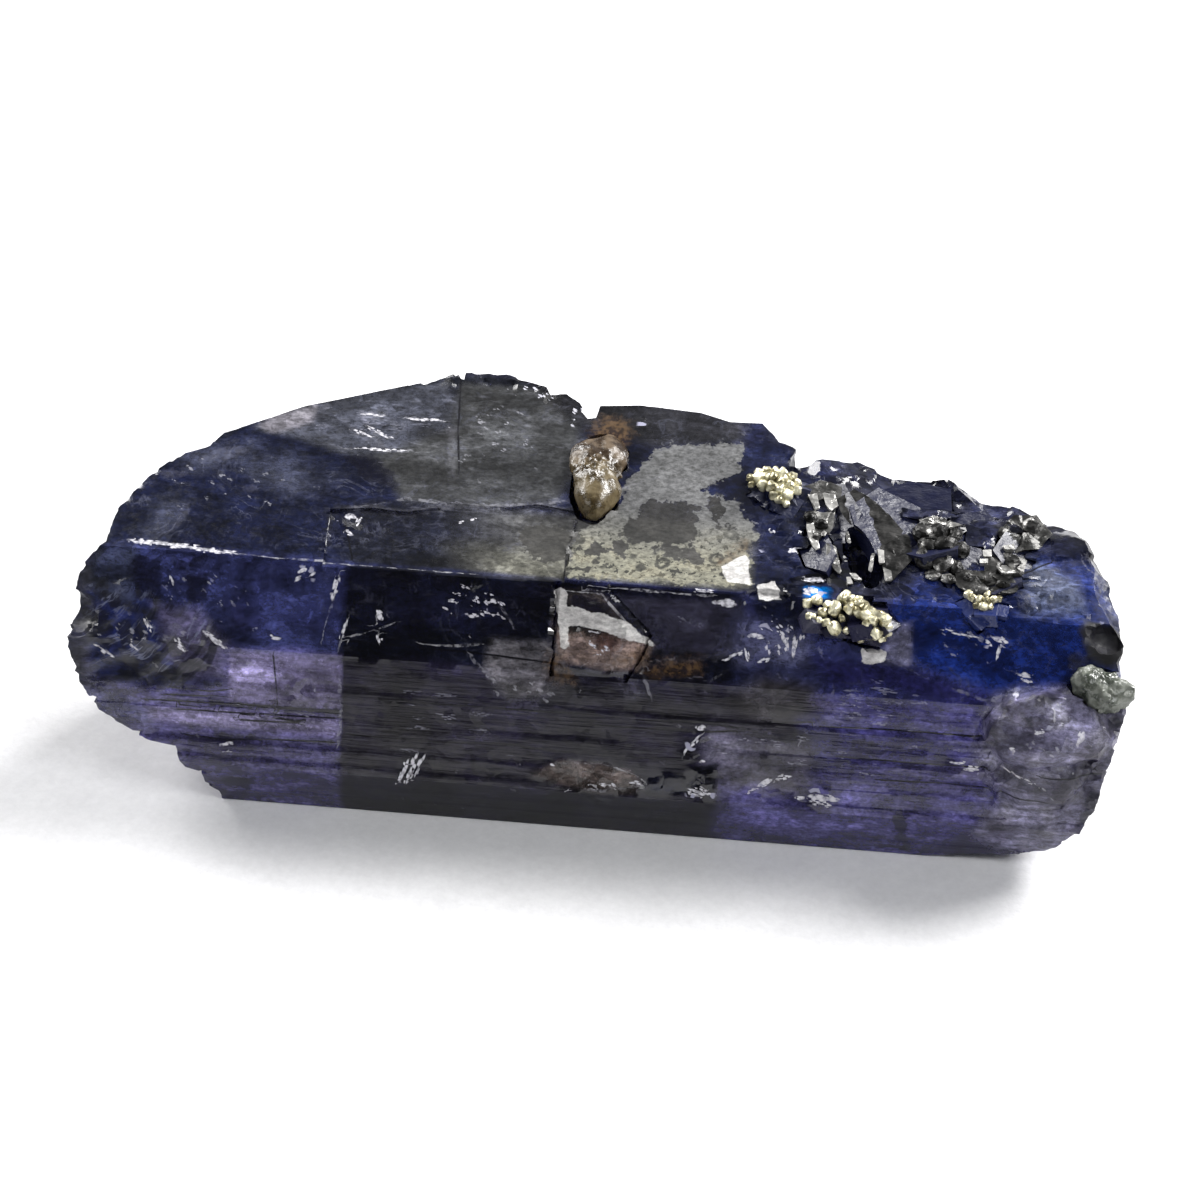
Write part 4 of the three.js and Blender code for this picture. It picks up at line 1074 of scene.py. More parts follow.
marks = {
    "along": along,
    "around": around,
    "streaks": np.maximum(on_front * (1 - broken) * (1 - 0.6 * middle_part), 0.4 * on_back),
    "broken": np.maximum(broken, 0.5 * scoop) * (1 - 0.8 * ease(along, 10.4, 11.2)) * calm_ends,
    "knobs": knob_zone,
    "glints": glints,
    "clearness": clear,
    "dullness": dull,
    "threads": threads,
    "silver_depth": inside(chart, *SILVER),
    "island_depth": inside(chart, *ISLANDS),
    "rust_depth": inside(chart, *RUST),
    "dark_depth": inside(chart, *DARK_GLASS),
    "pale_depth": inside(chart, *PALE_FROST),
    "white_depth": inside(chart, *WHITE_TILES),
    "bright_gap": bright_gap,
    "bright_side": bright_side,
    "dark_gap": dark_gap,
    "dark_side": dark_side,
    "faint_gap": faint_gap,
    "faint_side": faint_side,
    "frosting": frosting,
    "shell": shell_radius,
    "shell_mask": scoop,
    "long_strewn": strewn(LONG_STREWN),
    "short_strewn": strewn(SHORT_STREWN + BRIGHT_STREWN),
    "bright_strewn": strewn(BRIGHT_STREWN),
}
mark_names = list(marks)
for start in range(0, len(mark_names), 3):
    trio = np.stack([marks[name] for name in mark_names[start:start + 3]], axis=1)
    layer = crystal_mesh.attributes.new(f"marks_{start // 3}", "FLOAT_VECTOR", "POINT")
    layer.data.foreach_set("vector", trio.astype(np.float32).ravel())
layer = crystal_mesh.attributes.new("zone_colour", "FLOAT_VECTOR", "POINT")
layer.data.foreach_set("vector", colour.astype(np.float32).ravel())
print(len(marks), "marks in", len(marks) // 3, "layers on the skin, and the zone colour")

# %% [markdown]
# ## Tanzanite finish
# The crystal is clear glass with a high index and a blue-violet body, under a skin that is partly frosted.
# A plain Principled shader gives all of it: transmission and roughness vary over the skin, and a Volume
# Absorption colours long paths of light. The marks are laid on one by one, from the dark windows up to the
# brightest flakes. Each keeps how much of the ground still shows and how solid the mark is. The ground
# under them is the zone colour times streaks, haze and dust. The fine growth lines are noise squeezed
# along x, read from the chart's `around`.

# %% Tanzanite material
trio_nodes = {}


def mark_value(tree, name):
    """The number that a mark holds at each place on the skin: one of the three in its trio's layer."""
    trio, slot = divmod(mark_names.index(name), 3)
    if trio not in trio_nodes:
        read = add(tree, "ShaderNodeAttribute", attribute_name=f"marks_{trio}").outputs["Vector"]
        trio_nodes[trio] = add(tree, "ShaderNodeSeparateXYZ", {0: read})
    return trio_nodes[trio].outputs[slot]


def times(tree, *values):
    """All the numbers multiplied."""
    product = values[0]
    for value in values[1:]:
        product = maths(tree, "MULTIPLY", product, value)
    return product


def dimmed(tree, colour, amount):
    """A colour made darker or brighter by an amount."""
    return add(tree, "ShaderNodeHueSaturation", {"Value": amount, "Color": colour}).outputs[0]


TANZANITE_IOR = 1.69
BODY_COLOUR = (0.25, 0.15, 0.62, 1)
BODY_DENSITY = 100.0
tanzanite, tree, shader, output = new_material("tanzanite")
place = in_mm(tree)
ragged = maths(tree, "SUBTRACT", grain(tree, place, 2.6, 3.0, 0.7), 0.5)
speck = grain(tree, place, 6.0, 2.0, 0.65)
haze = grain(tree, in_mm(tree, (0.7, 1, 1)), 1.1, 5.0, 0.66, 0.4)
dust = grain(tree, in_mm(tree, (0.6, 1.0, 1.0)), 11.0, 3.0, 0.75)
along_layer = mark_value(tree, "along")
around_layer = mark_value(tree, "around")
towards_ridge = fade(tree, around_layer, -2.6, -0.5)
bare = 1.0
cover = (0.0, 0.0, 0.0)
matter = 0.0


def cut(name, raggedness, softness=0.03):
    """A crisp ragged mask, 1 inside: a layer's depth plus noise, stepped at zero."""
    depth = maths(tree, "ADD", mark_value(tree, name), times(tree, ragged, raggedness))
    return fade(tree, depth, -softness, softness)


def drawn_line(name, width, waver):
    """A thin wavering line, 1 on it: the signed layer finds its middle, and the plain one ends it."""
    middle = maths(tree, "ADD", mark_value(tree, name + "_side"), times(tree, ragged, waver))
    wide = times(tree, fade(tree, haze, 0.38, 0.66), 0.030 if waver > 0.05 else 0.010)
    gap = maths(tree, "SUBTRACT", maths(tree, "ABSOLUTE", middle), wide)
    ended = fade(tree, mark_value(tree, name + "_gap"), 0.17, 0.11)
    return times(tree, fade(tree, gap, width, 0.0), ended)


def lay(mask, tint, solid=0.0):
    """Lays a mark over the marks so far; keeps how much ground still shows and how solid the marks are."""
    global bare, cover, matter
    bare = times(tree, bare, maths(tree, "SUBTRACT", 1.0, mask, True))
    cover = blend(tree, mask, cover, tint)
    if solid > 0:
        matter = maths(tree, "MAXIMUM", matter, times(tree, mask, solid))


lay(times(tree, cut("dark_depth", 0.55, 0.06), 0.75), (0.005, 0.005, 0.014))
dark_line = times(tree, drawn_line("dark", 0.034, 0.03), fade(tree, haze, 0.30, 0.45, 0.3, 1.0))
lay(dark_line, (0.004, 0.004, 0.008))

island = cut("island_depth", 0.9, 0.03)
silver = times(tree, cut("silver_depth", 0.9, 0.04), maths(tree, "SUBTRACT", 1.0, island, True))
# the silvery skin: a grey film whose sheen is painted, paler and cream towards the ridge as a painted
# reflection
silver_sheen_colour = blend(tree, towards_ridge, (0.150, 0.151, 0.154), (0.250, 0.245, 0.192))
pitted = times(tree, fade(tree, speck, 0.44, 0.38), maths(tree, "ADD", towards_ridge, 0.35))
silver_sheen_colour = blend(tree, pitted, silver_sheen_colour, (0.05, 0.05, 0.045))
stained = times(tree, fade(tree, haze, 0.50, 0.62), 0.4, towards_ridge)
silver_sheen_colour = blend(tree, stained, silver_sheen_colour, (0.22, 0.20, 0.14))
holes = add(tree, "ShaderNodeTexVoronoi", {"Vector": place, "Scale": 1.5}, feature="F1")
hole_gap = maths(tree, "ADD", holes.outputs["Distance"], times(tree, ragged, 0.35))
ring = fade(tree, maths(tree, "ABSOLUTE", maths(tree, "SUBTRACT", hole_gap, 0.22)), 0.11, 0.03)
ring = times(tree, ring, fade(tree, haze, 0.42, 0.52), fade(tree, around_layer, -3.0, -1.2), 0.9)
silver_sheen_colour = blend(tree, ring, silver_sheen_colour, (0.045, 0.045, 0.040))
silver_sheen_colour = dimmed(tree, silver_sheen_colour, fade(tree, haze, 0.3, 0.7, 0.75, 1.25))
lay(silver, dimmed(tree, silver_sheen_colour, fade(tree, dust, 0.3, 0.7, 0.58, 1.45)), 1.0)
island_colour = blend(tree, fade(tree, haze, 0.3, 0.7), (0.034, 0.034, 0.032), (0.070, 0.067, 0.062))
lay(times(tree, island, 0.9), dimmed(tree, island_colour, fade(tree, dust, 0.3, 0.7, 0.7, 1.35)), 0.65)
rust_colour = blend(tree, fade(tree, speck, 0.4, 0.6), (0.045, 0.027, 0.017), (0.170, 0.100, 0.046))
lay(times(tree, cut("rust_depth", 0.8, 0.22), 0.70), rust_colour, 1.0)

patchy = fade(tree, speck, 0.38, 0.58, 0.10, 1.0)
uneven = fade(tree, ragged, -0.20, 0.12, 0.15, 1.0)
# bright lines: a painted highlight along the ridge, and pale cracks
bright_line = times(tree, drawn_line("bright", 0.016, 0.08), uneven, patchy, 0.85)
lay(bright_line, (0.52, 0.52, 0.55), 1.0)
faint_line = times(tree, drawn_line("faint", 0.030, 0.20), fade(tree, haze, 0.42, 0.60), patchy, 0.38)
lay(faint_line, (0.48, 0.48, 0.54), 1.0)
white_colour = blend(tree, fade(tree, haze, 0.4, 0.6), (0.68, 0.66, 0.65), (1.0, 0.99, 0.96))
white_colour = dimmed(tree, white_colour, fade(tree, dust, 0.3, 0.7, 0.6, 1.15))
lay(times(tree, cut("white_depth", 0.22, 0.015), 0.9), white_colour, 1.0)

angle = maths(tree, "SUBTRACT", around_layer, SHELL_AROUND)
angle = maths(tree, "ARCTAN2", angle, maths(tree, "SUBTRACT", along_layer, SHELL_ALONG))
shell = maths(tree, "ADD", mark_value(tree, "shell"), times(tree, ragged, 0.10))
ribs = add(tree, "ShaderNodeCombineXYZ", {0: shell, 1: times(tree, angle, 0.45)}).outputs[0]
ribs = grain(tree, ribs, 2.3, 3.0, 0.62)
shell_mask = mark_value(tree, "shell_mask")
lay(times(tree, fade(tree, ribs, 0.58, 0.70), shell_mask, 0.55), (0.040, 0.048, 0.130))
lay(times(tree, fade(tree, ribs, 0.47, 0.40), shell_mask, 0.80), (0.002, 0.003, 0.012))
# a painted highlight along the crests of the shell's ribs
crest_highlight = fade(tree, maths(tree, "ABSOLUTE", maths(tree, "SUBTRACT", ribs, 0.56)), 0.022, 0.004)
lay(times(tree, crest_highlight, fade(tree, haze, 0.44, 0.60), shell_mask, 0.60), (0.30, 0.33, 0.50), 0.6)

on_chart = add(tree, "ShaderNodeCombineXYZ", {0: along_layer, 1: around_layer}).outputs[0]
CRUMB_SHIFT = 0.09
crumbs = {"Vector": on_chart, "Scale": 9.0}
crumbs = add(tree, "ShaderNodeTexVoronoi", crumbs, voronoi_dimensions="2D", distance="MANHATTAN")
crumb = add(tree, "ShaderNodeSeparateColor", {0: crumbs.outputs["Color"]})
sideways = times(tree, maths(tree, "SUBTRACT", crumb.outputs[0], 0.5), CRUMB_SHIFT)
sideways = maths(tree, "ADD", along_layer, sideways)
upwards = times(tree, maths(tree, "SUBTRACT", crumb.outputs[1], 0.5), CRUMB_SHIFT)
upwards = maths(tree, "ADD", around_layer, upwards)
crumbled = add(tree, "ShaderNodeCombineXYZ", {0: sideways, 1: upwards}).outputs[0]
sideways = add(tree, "ShaderNodeCombineXYZ", {0: sideways, 1: sideways, 2: sideways}).outputs[0]
upwards = add(tree, "ShaderNodeCombineXYZ", {0: upwards, 1: upwards, 2: upwards}).outputs[0]


def vectors(operation, a, b=(0, 0, 0), c=(0, 0, 0)):
    """One step of arithmetic on three numbers at once."""
    return add(tree, "ShaderNodeVectorMath", {0: a, 1: b, 2: c}, operation=operation).outputs[0]


def flake_mask(flakes, crispness):
    """1 on any of the flakes: ellipses on the chart with crumbly edges, worked out three at a time."""
    nearest = (9.0, 9.0, 9.0)
    for x, y, length, width, degrees in np.array(flakes).reshape(-1, 3, 5).transpose(0, 2, 1):
        c, s = np.cos(np.radians(degrees)), np.sin(np.radians(degrees))
        over = vectors("MULTIPLY_ADD", upwards, s / length, -(c * x + s * y) / length)
        over = vectors("MULTIPLY_ADD", sideways, c / length, over)
        across = vectors("MULTIPLY_ADD", upwards, c / width, (s * x - c * y) / width)
        across = vectors("MULTIPLY_ADD", sideways, -s / width, across)
        squares = vectors("MULTIPLY_ADD", over, over, vectors("MULTIPLY", across, across))
        nearest = vectors("MINIMUM", nearest, squares)
    nearest = add(tree, "ShaderNodeSeparateXYZ", {0: nearest})
    low = maths(tree, "MINIMUM", nearest.outputs[1], nearest.outputs[2])
    low = maths(tree, "MINIMUM", nearest.outputs[0], low)
    return fade(tree, low, 1.0 + crispness, 1.0 - crispness)


def strewn_flakes(name, cell, degrees):
    """One flake to a cell of a flat Voronoi, round its seed, where the cell's luck is under the share."""
    turned = {0: crumbled, "Scale": (*cell, 1.0), "Rotation": (0, 0, np.radians(degrees))}
    where = add(tree, "ShaderNodeMapping", turned, vector_type="TEXTURE").outputs[0]
    seeds = add(tree, "ShaderNodeTexVoronoi", {"Vector": where, "Scale": 1.0}, voronoi_dimensions="2D")
    luck = add(tree, "ShaderNodeSeparateColor", {0: seeds.outputs["Color"]})
    reach = fade(tree, luck.outputs[1], 0.0, 1.0, 0.16, 0.42)
    spot = fade(tree, seeds.outputs["Distance"], reach, times(tree, reach, 0.55))
    share = mark_value(tree, name)
    return times(tree, spot, fade(tree, maths(tree, "SUBTRACT", share, luck.outputs[0]), -0.01, 0.01))


# strewn and placed flakes: small cleavages whose pale to bright colour is painted glints
crumb_shade = fade(tree, crumbs.outputs["Distance"], 0.9, 0.3, 0.5, 1.0)
faintness = fade(tree, ragged, -0.15, 0.15, 0.15, 0.5)
lay(times(tree, strewn_flakes("long_strewn", (0.85, 0.075), 2), faintness), (0.42, 0.42, 0.52), 1.0)
short_flake = strewn_flakes("short_strewn", (0.26, 0.105), 35)
brightness = fade(tree, mark_value(tree, "bright_strewn"), 0.05, 0.20)
brightness = maths(tree, "MAXIMUM", faintness, brightness, True)
lay(times(tree, short_flake, brightness), (0.70, 0.70, 0.78), 1.0)
lay(times(tree, flake_mask(FLAKES, 0.25), crumb_shade), (0.80, 0.79, 0.85), 1.0)

jitter = add(tree, "ShaderNodeTexNoise", {"Vector": place, "Scale": 1.3, "Detail": 2.0}).outputs["Color"]
coordinates = add(tree, "ShaderNodeTexCoord").outputs["Object"]
tilted = {0: coordinates, "Location": jitter, "Rotation": (0.3, 0.2, 0.45)}
tilted["Scale"] = (550.0, 1000.0, 1000.0)
slanted = add(tree, "ShaderNodeMapping", tilted).outputs[0]
small = {"Vector": slanted, "Scale": 3.2}
cells = add(tree, "ShaderNodeTexVoronoi", small, feature="F1", distance="MANHATTAN")
luck = add(tree, "ShaderNodeSeparateColor", {0: cells.outputs["Color"]}).outputs[0]
large = {"Vector": slanted, "Scale": 1.5}
facets = add(tree, "ShaderNodeTexVoronoi", large, feature="F1", distance="CHEBYCHEV")
facet_luck = add(tree, "ShaderNodeSeparateColor", {0: facets.outputs["Color"]}).outputs[0]
glint_layer = mark_value(tree, "glints")
# painted glints: pale colour laid on some of the small cells in the glinting spots
painted_glint = times(tree, fade(tree, luck, 0.62, 0.66), fade(tree, cells.outputs["Distance"], 0.48, 0.36))
lay(times(tree, painted_glint, fade(tree, glint_layer, 0.3, 0.7)), (0.40, 0.40, 0.52), 1.0)

squeezed = times(tree, along_layer, 0.07)
unrolled = add(tree, "ShaderNodeCombineXYZ", {0: squeezed, 1: around_layer}).outputs[0]
lines = grain(tree, unrolled, 4.0, 4.0, 0.7)
fine_lines = grain(tree, unrolled, 14.0, 1.0, 0.6)
broken_layer = mark_value(tree, "broken")
knob_layer = mark_value(tree, "knobs")
streak_layer = mark_value(tree, "streaks")
clear_layer = mark_value(tree, "clearness")
stroke = grain(tree, in_mm(tree, (0.28, 1.0, 1.0)), 6.5, 3.0, 0.68, 0.5)
frosting = times(tree, mark_value(tree, "frosting"), fade(tree, haze, 0.36, 0.58, 0.35, 1.0))
lined = times(tree, maths(tree, "SUBTRACT", lines, 0.5), 2.6, fade(tree, haze, 0.3, 0.7, 0.4, 1.4))
streaky = times(tree, lined, maths(tree, "ADD", streak_layer, 0.12))
streaky = maths(tree, "MAXIMUM", maths(tree, "ADD", streaky, 1.0), 0.3)
hazy = fade(tree, haze, 0.30, 0.70, 0.50, 1.65)
hacked = maths(tree, "ADD", broken_layer, 0.12)
hacked = times(tree, maths(tree, "SUBTRACT", facet_luck, 0.5), 1.5, hacked)
chipped = fade(tree, luck, 0.0, 1.0, 0.75, 1.25)
lift_up = maths(tree, "DIVIDE", 1.0, maths(tree, "SUBTRACT", 1.0, clear_layer))
dark_stroke = times(tree, fade(tree, stroke, 0.44, 0.34), frosting, 0.65)
fine = times(tree, fade(tree, dust, 0.28, 0.72, 0.55, 1.6), maths(tree, "SUBTRACT", 1.0, dark_stroke))
factor = times(tree, streaky, hazy, maths(tree, "ADD", 1.0, hacked), chipped, lift_up, fine)
zone = add(tree, "ShaderNodeAttribute", attribute_name="zone_colour").outputs["Vector"]
base = vectors("MULTIPLY", zone, factor)
thin = times(tree, fade(tree, fine_lines, 0.60, 0.70), streak_layer)
thin = times(tree, thin, fade(tree, lines, 0.45, 0.6), fade(tree, haze, 0.4, 0.6))
base = blend(tree, times(tree, thin, 0.25), base, (0.34, 0.31, 0.46))
swirl = grain(tree, place, 0.75, 4.0, 0.6, 1.6)
thread = fade(tree, maths(tree, "ABSOLUTE", maths(tree, "SUBTRACT", swirl, 0.5)), 0.030, 0.0)
thread = times(tree, thread, fade(tree, haze, 0.45, 0.62), mark_value(tree, "threads"))
base = blend(tree, times(tree, thread, 0.55), base, (0.17, 0.18, 0.25))
pale = times(tree, cut("pale_depth", 0.45, 0.05), fade(tree, speck, 0.3, 0.6, 0.35, 1.0), 0.8)
base = blend(tree, pale, base, (1.35, 1.35, 1.30), "MULTIPLY")
base = blend(tree, pale, base, (0.050, 0.049, 0.060), "ADD")
pale_stroke = times(tree, fade(tree, stroke, 0.56, 0.66), frosting, 0.8)
base = blend(tree, pale_stroke, base, (1.8, 1.8, 1.8), "MULTIPLY")
base = blend(tree, pale_stroke, base, (0.065, 0.065, 0.078), "ADD")
base = blend(tree, 1.0, blend(tree, bare, (0.0, 0.0, 0.0), base), cover, "ADD")
base = add(tree, "ShaderNodeHueSaturation", {"Saturation": 1.02, "Value": 0.81, "Color": base}).outputs[0]
tree.links.new(base, shader.inputs["Base Color"])

clearness = times(tree, clear_layer, maths(tree, "SUBTRACT", 1.0, matter, True))
tree.links.new(clearness, shader.inputs["Transmission Weight"])
roughness = times(tree, fade(tree, speck, 0.35, 0.7), 0.10)
roughness = maths(tree, "ADD", mark_value(tree, "dullness"), roughness)
roughness = maths(tree, "ADD", roughness, times(tree, matter, 0.15), True)
tree.links.new(roughness, shader.inputs["Roughness"])

height = times(tree, maths(tree, "ADD", lines, fine_lines), maths(tree, "ADD", streak_layer, 0.05))
knobbly = times(tree, speck, maths(tree, "ADD", knob_layer, 0.10))
height = maths(tree, "ADD", times(tree, height, 0.35), knobbly)
flat = add(tree, "ShaderNodeNewGeometry").outputs["Normal"]
wobble = maths(tree, "ADD", times(tree, glint_layer, 0.35), 0.035)
wobble = maths(tree, "ADD", times(tree, broken_layer, 0.28), wobble)
off = vectors("SUBTRACT", cells.outputs["Color"], (0.5, 0.5, 0.5))
hackly = vectors("NORMALIZE", vectors("ADD", flat, vectors("MULTIPLY", off, wobble)))
bump = {"Height": height, "Strength": 0.3, "Distance": 0.00005, "Normal": hackly}
bump = add(tree, "ShaderNodeBump", bump)
tree.links.new(bump.outputs[0], shader.inputs["Normal"])
shader.inputs["IOR"].default_value = TANZANITE_IOR
shader.inputs["Specular IOR Level"].default_value = 0.20
tanzanite.cycles.homogeneous_volume = True
absorb = add(tree, "ShaderNodeVolumeAbsorption", {"Color": BODY_COLOUR, "Density": BODY_DENSITY})
tree.links.new(absorb.outputs[0], output.inputs["Volume"])
crystal_mesh.materials.clear()
crystal_mesh.materials.append(tanzanite)
print("tanzanite finish has", len(tree.nodes), "nodes")

# %% [markdown]
# ## The grains: rounded lumps with frosted skin
# The honey grain is two worn lumps in a row, and the green grain is one, both half sunk into the stone. A
# lump is a ball grid whose reach in each direction is the farthest exit out of a few ellipsoids, with noise
# on top. That gives one closed skin with soft necks, where a plain stretched ball would look like a bead.

# %% Grains
def ball_directions(rings, spokes):
    """Unit directions on a ball: rings of spokes from pole to pole, with one point at each pole."""
    tilt = np.linspace(0, np.pi, rings + 2)[1:-1]
    turn = np.linspace(0, 2 * np.pi, spokes, endpoint=False)
    tilt, turn = np.meshgrid(tilt, turn, indexing="ij")
    belt = np.stack([np.sin(tilt) * np.cos(turn), np.sin(tilt) * np.sin(turn), np.cos(tilt)], axis=2)
    return np.vstack([(0, 0, 1), belt.reshape(-1, 3), (0, 0, -1)])


def ball_faces(rings, spokes):
    """Quads between the rings and a fan of triangles at each pole, all facing out."""
    ring = np.arange(rings - 1)[:, None] * spokes + 1
    here = np.arange(spokes)[None, :]
    there = (here + 1) % spokes
    quads = [ring + here, ring + spokes + here, ring + spokes + there, ring + there]
    quads = np.stack(quads, axis=2).reshape(-1, 4)
    last = rings * spokes + 1
    low = last - spokes
    top = np.stack([0 * here, 1 + here, 1 + there], axis=2).reshape(-1, 3)
    bottom = np.stack([0 * here + last, low + there, low + here], axis=2).reshape(-1, 3)
    return [*quads.tolist(), *top.tolist(), *bottom.tolist()]


def new_piece(name, points, faces, finish, node, crease=35):
    """Makes a closed piece from points in mm, rides it on the stone and lets it stand for a node."""
    mesh = bpy.data.meshes.new(name)
    mesh.from_pydata((points * MM).tolist(), [], faces)
    mesh.shade_smooth()
    mesh.set_sharp_from_angle(angle=np.radians(crease))
    mesh.materials.append(finish)
    piece = bpy.data.objects.new(name, mesh)
    bpy.context.scene.collection.objects.link(piece)
    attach(piece, "root")
    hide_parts(node)
    return piece


GRAIN_GRID = (46, 64)


def lump(centre, lumps, roughness, size, seed):
    """Points on a lumpy grain: in each direction the farthest way out of the ellipsoids times 1 + noise."""
    directions = ball_directions(*GRAIN_GRID)
    reach = np.zeros(len(directions))
    for middle, radii in lumps:
        radii = np.array(radii)
        start = (np.array(centre) - middle) / radii
        run = directions / radii
        a = (run**2).sum(1)
        b = run @ start
        c = start @ start - 1
        exit_at = (-b + np.sqrt(np.maximum(b * b - a * c, 0))) / a
        reach = np.maximum(reach, np.where(b * b > a * c, exit_at, 0))
    bumps = cloud(directions * 3, size, seed) + 0.5 * cloud(directions * 3, size / 2.3, seed + 1)
    return np.array(centre) + directions * (reach * (1 + roughness * bumps))[:, None]


# The grains' places are measured from the part's own origin, which the frame has moved by this much.
SHIFT = np.array([-0.185, -1.244, 0.0])
amber_finish, tree, shader, _ = new_material("honey grain")
place = in_mm(tree)
cloudy = grain(tree, place, 2.4, 4.0, 0.6)
height = add(tree, "ShaderNodeSeparateXYZ", {0: place}).outputs[1]
honey = blend(tree, fade(tree, cloudy, 0.35, 0.65), (0.055, 0.038, 0.016), (0.215, 0.165, 0.085))
ruddy = blend(tree, fade(tree, cloudy, 0.40, 0.62), (0.046, 0.028, 0.016), (0.190, 0.138, 0.090))
honey = blend(tree, fade(tree, height, 1.1, 1.9), honey, ruddy)
tree.links.new(honey, shader.inputs["Base Color"])
shader.inputs["Transmission Weight"].default_value = 0.35
shader.inputs["IOR"].default_value = 1.6
tree.links.new(fade(tree, cloudy, 0.3, 0.7, 0.18, 0.40), shader.inputs["Roughness"])
shader.inputs["Specular IOR Level"].default_value = 0.3
pocked = grain(tree, place, 7.0, 3.0)
bump = add(tree, "ShaderNodeBump", {"Height": pocked, "Strength": 0.5, "Distance": 0.00005})
tree.links.new(bump.outputs[0], shader.inputs["Normal"])
amber = new_piece(
    "honey_grain",
    lump(
        np.array((-0.26, 2.7, 6.58)) + SHIFT,
        [
            (np.array((-0.22, 2.25, 6.50)) + SHIFT, (0.56, 1.0, 0.46)),
            (np.array((-0.42, 3.05, 6.64)) + SHIFT, (0.58, 0.90, 0.44)),
            (np.array((-0.08, 3.25, 6.66)) + SHIFT, (0.50, 0.75, 0.42)),
            (np.array((-0.28, 2.70, 6.58)) + SHIFT, (0.58, 1.0, 0.46)),
        ],
        0.11, 1.0, 100,
    ),
    ball_faces(*GRAIN_GRID), amber_finish, "amber_grain",
)

green_finish, tree, shader, _ = new_material("grey green grain")
place = in_mm(tree)
cloudy = grain(tree, place, 2.6, 4.0, 0.6)
tree.links.new(
    blend(tree, fade(tree, cloudy, 0.3, 0.7), (0.060, 0.070, 0.055), (0.190, 0.205, 0.170)),
    shader.inputs["Base Color"],
)
shader.inputs["Transmission Weight"].default_value = 0.25
shader.inputs["IOR"].default_value = 1.6
tree.links.new(fade(tree, cloudy, 0.3, 0.7, 0.22, 0.45), shader.inputs["Roughness"])
pocked = grain(tree, place, 6.0, 3.0)
bump = add(tree, "ShaderNodeBump", {"Height": pocked, "Strength": 0.6, "Distance": 0.00006})
tree.links.new(bump.outputs[0], shader.inputs["Normal"])
green = new_piece(
    "green_grain_skin",
    lump(
        np.array((12.15, -1.75, 4.72)) + SHIFT,
        [
            (np.array((12.25, -1.78, 4.66)) + SHIFT, (0.66, 0.46, 0.46)),
            (np.array((11.85, -1.70, 4.85)) + SHIFT, (0.42, 0.44, 0.40)),
        ],
        0.14, 0.8, 110,
    ),
    ball_faces(*GRAIN_GRID), green_finish, "green_grain",
)
print("honey and green grains, faces:", len(amber.data.polygons), len(green.data.polygons))

# %% [markdown]
# ## Graphite: plates, walls and crumpled lumps
# Graphite grows in soft metallic plates that split along flat sheets, and where it was squeezed it crumples
# into shiny lumps. Two large smooth plates lean over a deep hole, and smaller plates and freshly split
# slivers stand around it. A plate is a disc grid whose rim follows its outline: in each direction the rim
# is where the way out crosses the outline. Fresh slivers and some facets of the lumps carry a layer of
# painted glint that makes them brighter, standing in for the light that a new split catches.

# %% Graphite plates
def reach_of(outline, turn):
    """How far an outline round the origin reaches in each direction: the farthest crossing with an edge."""
    outline = np.array(outline, dtype=float)
    edge = (np.roll(outline, -1, axis=0) - outline)[None]
    way = np.stack([np.cos(turn), np.sin(turn)], axis=1)[:, None]
    cross = way[..., 0] * edge[..., 1] - way[..., 1] * edge[..., 0]
    cross = np.where(np.abs(cross) < 1e-9, 1e-9, cross)
    out = (outline[None, :, 0] * edge[..., 1] - outline[None, :, 1] * edge[..., 0]) / cross
    share = (outline[None, :, 0] * way[..., 1] - outline[None, :, 1] * way[..., 0]) / cross
    return np.where((share > -1e-6) & (share < 1 + 1e-6) & (out > 0), out, 0).max(axis=1)


PLATE_RINGS, PLATE_SPOKES = 6, 44
LUMP_GRID = (14, 22)


def sheet(corners, thick, bumps, seed):
    """A plate with its corners in mm: rings out on their common slope and back under it, with facets."""
    corners = np.array(corners, dtype=float)
    centre = corners.mean(axis=0)
    flat_corners = corners[:, :2] - centre[:2]
    slope = np.linalg.lstsq(flat_corners, corners[:, 2] - centre[2], rcond=None)[0]
    turn = np.linspace(0, 2 * np.pi, PLATE_SPOKES, endpoint=False)
    rim = reach_of(flat_corners, turn)
    outward = np.linspace(0, 1, PLATE_RINGS + 1)[1:]
    inward = np.linspace(1, 0, PLATE_RINGS + 1)[1:-1]
    share = np.concatenate([outward, inward])[:, None]
    flat = np.stack([share * rim * np.cos(turn), share * rim * np.sin(turn)], axis=2).reshape(-1, 2)
    flat = np.vstack([(0, 0), flat, (0, 0)])
    under = np.arange(len(flat)) > PLATE_RINGS * PLATE_SPOKES
    level = np.column_stack([flat, 0 * under]) + seed
    folds = shards(level, 0.45, seed) + 0.4 * shards(level, 0.2, seed + 11)
    height = flat @ slope + bumps * folds - under * thick
    return np.column_stack([flat, height]) + centre


def crumple(centre, radii, seed):
    """A small crumpled lump: a ball grid with flat facets and fine folds."""
    ball = ball_directions(*LUMP_GRID)
    folds = 0.24 * shards(ball + seed, 0.9, seed) + 0.05 * shards(ball + seed, 0.35, seed + 5)
    return np.array(centre) + ball * (1 + folds)[:, None] * np.array(radii)
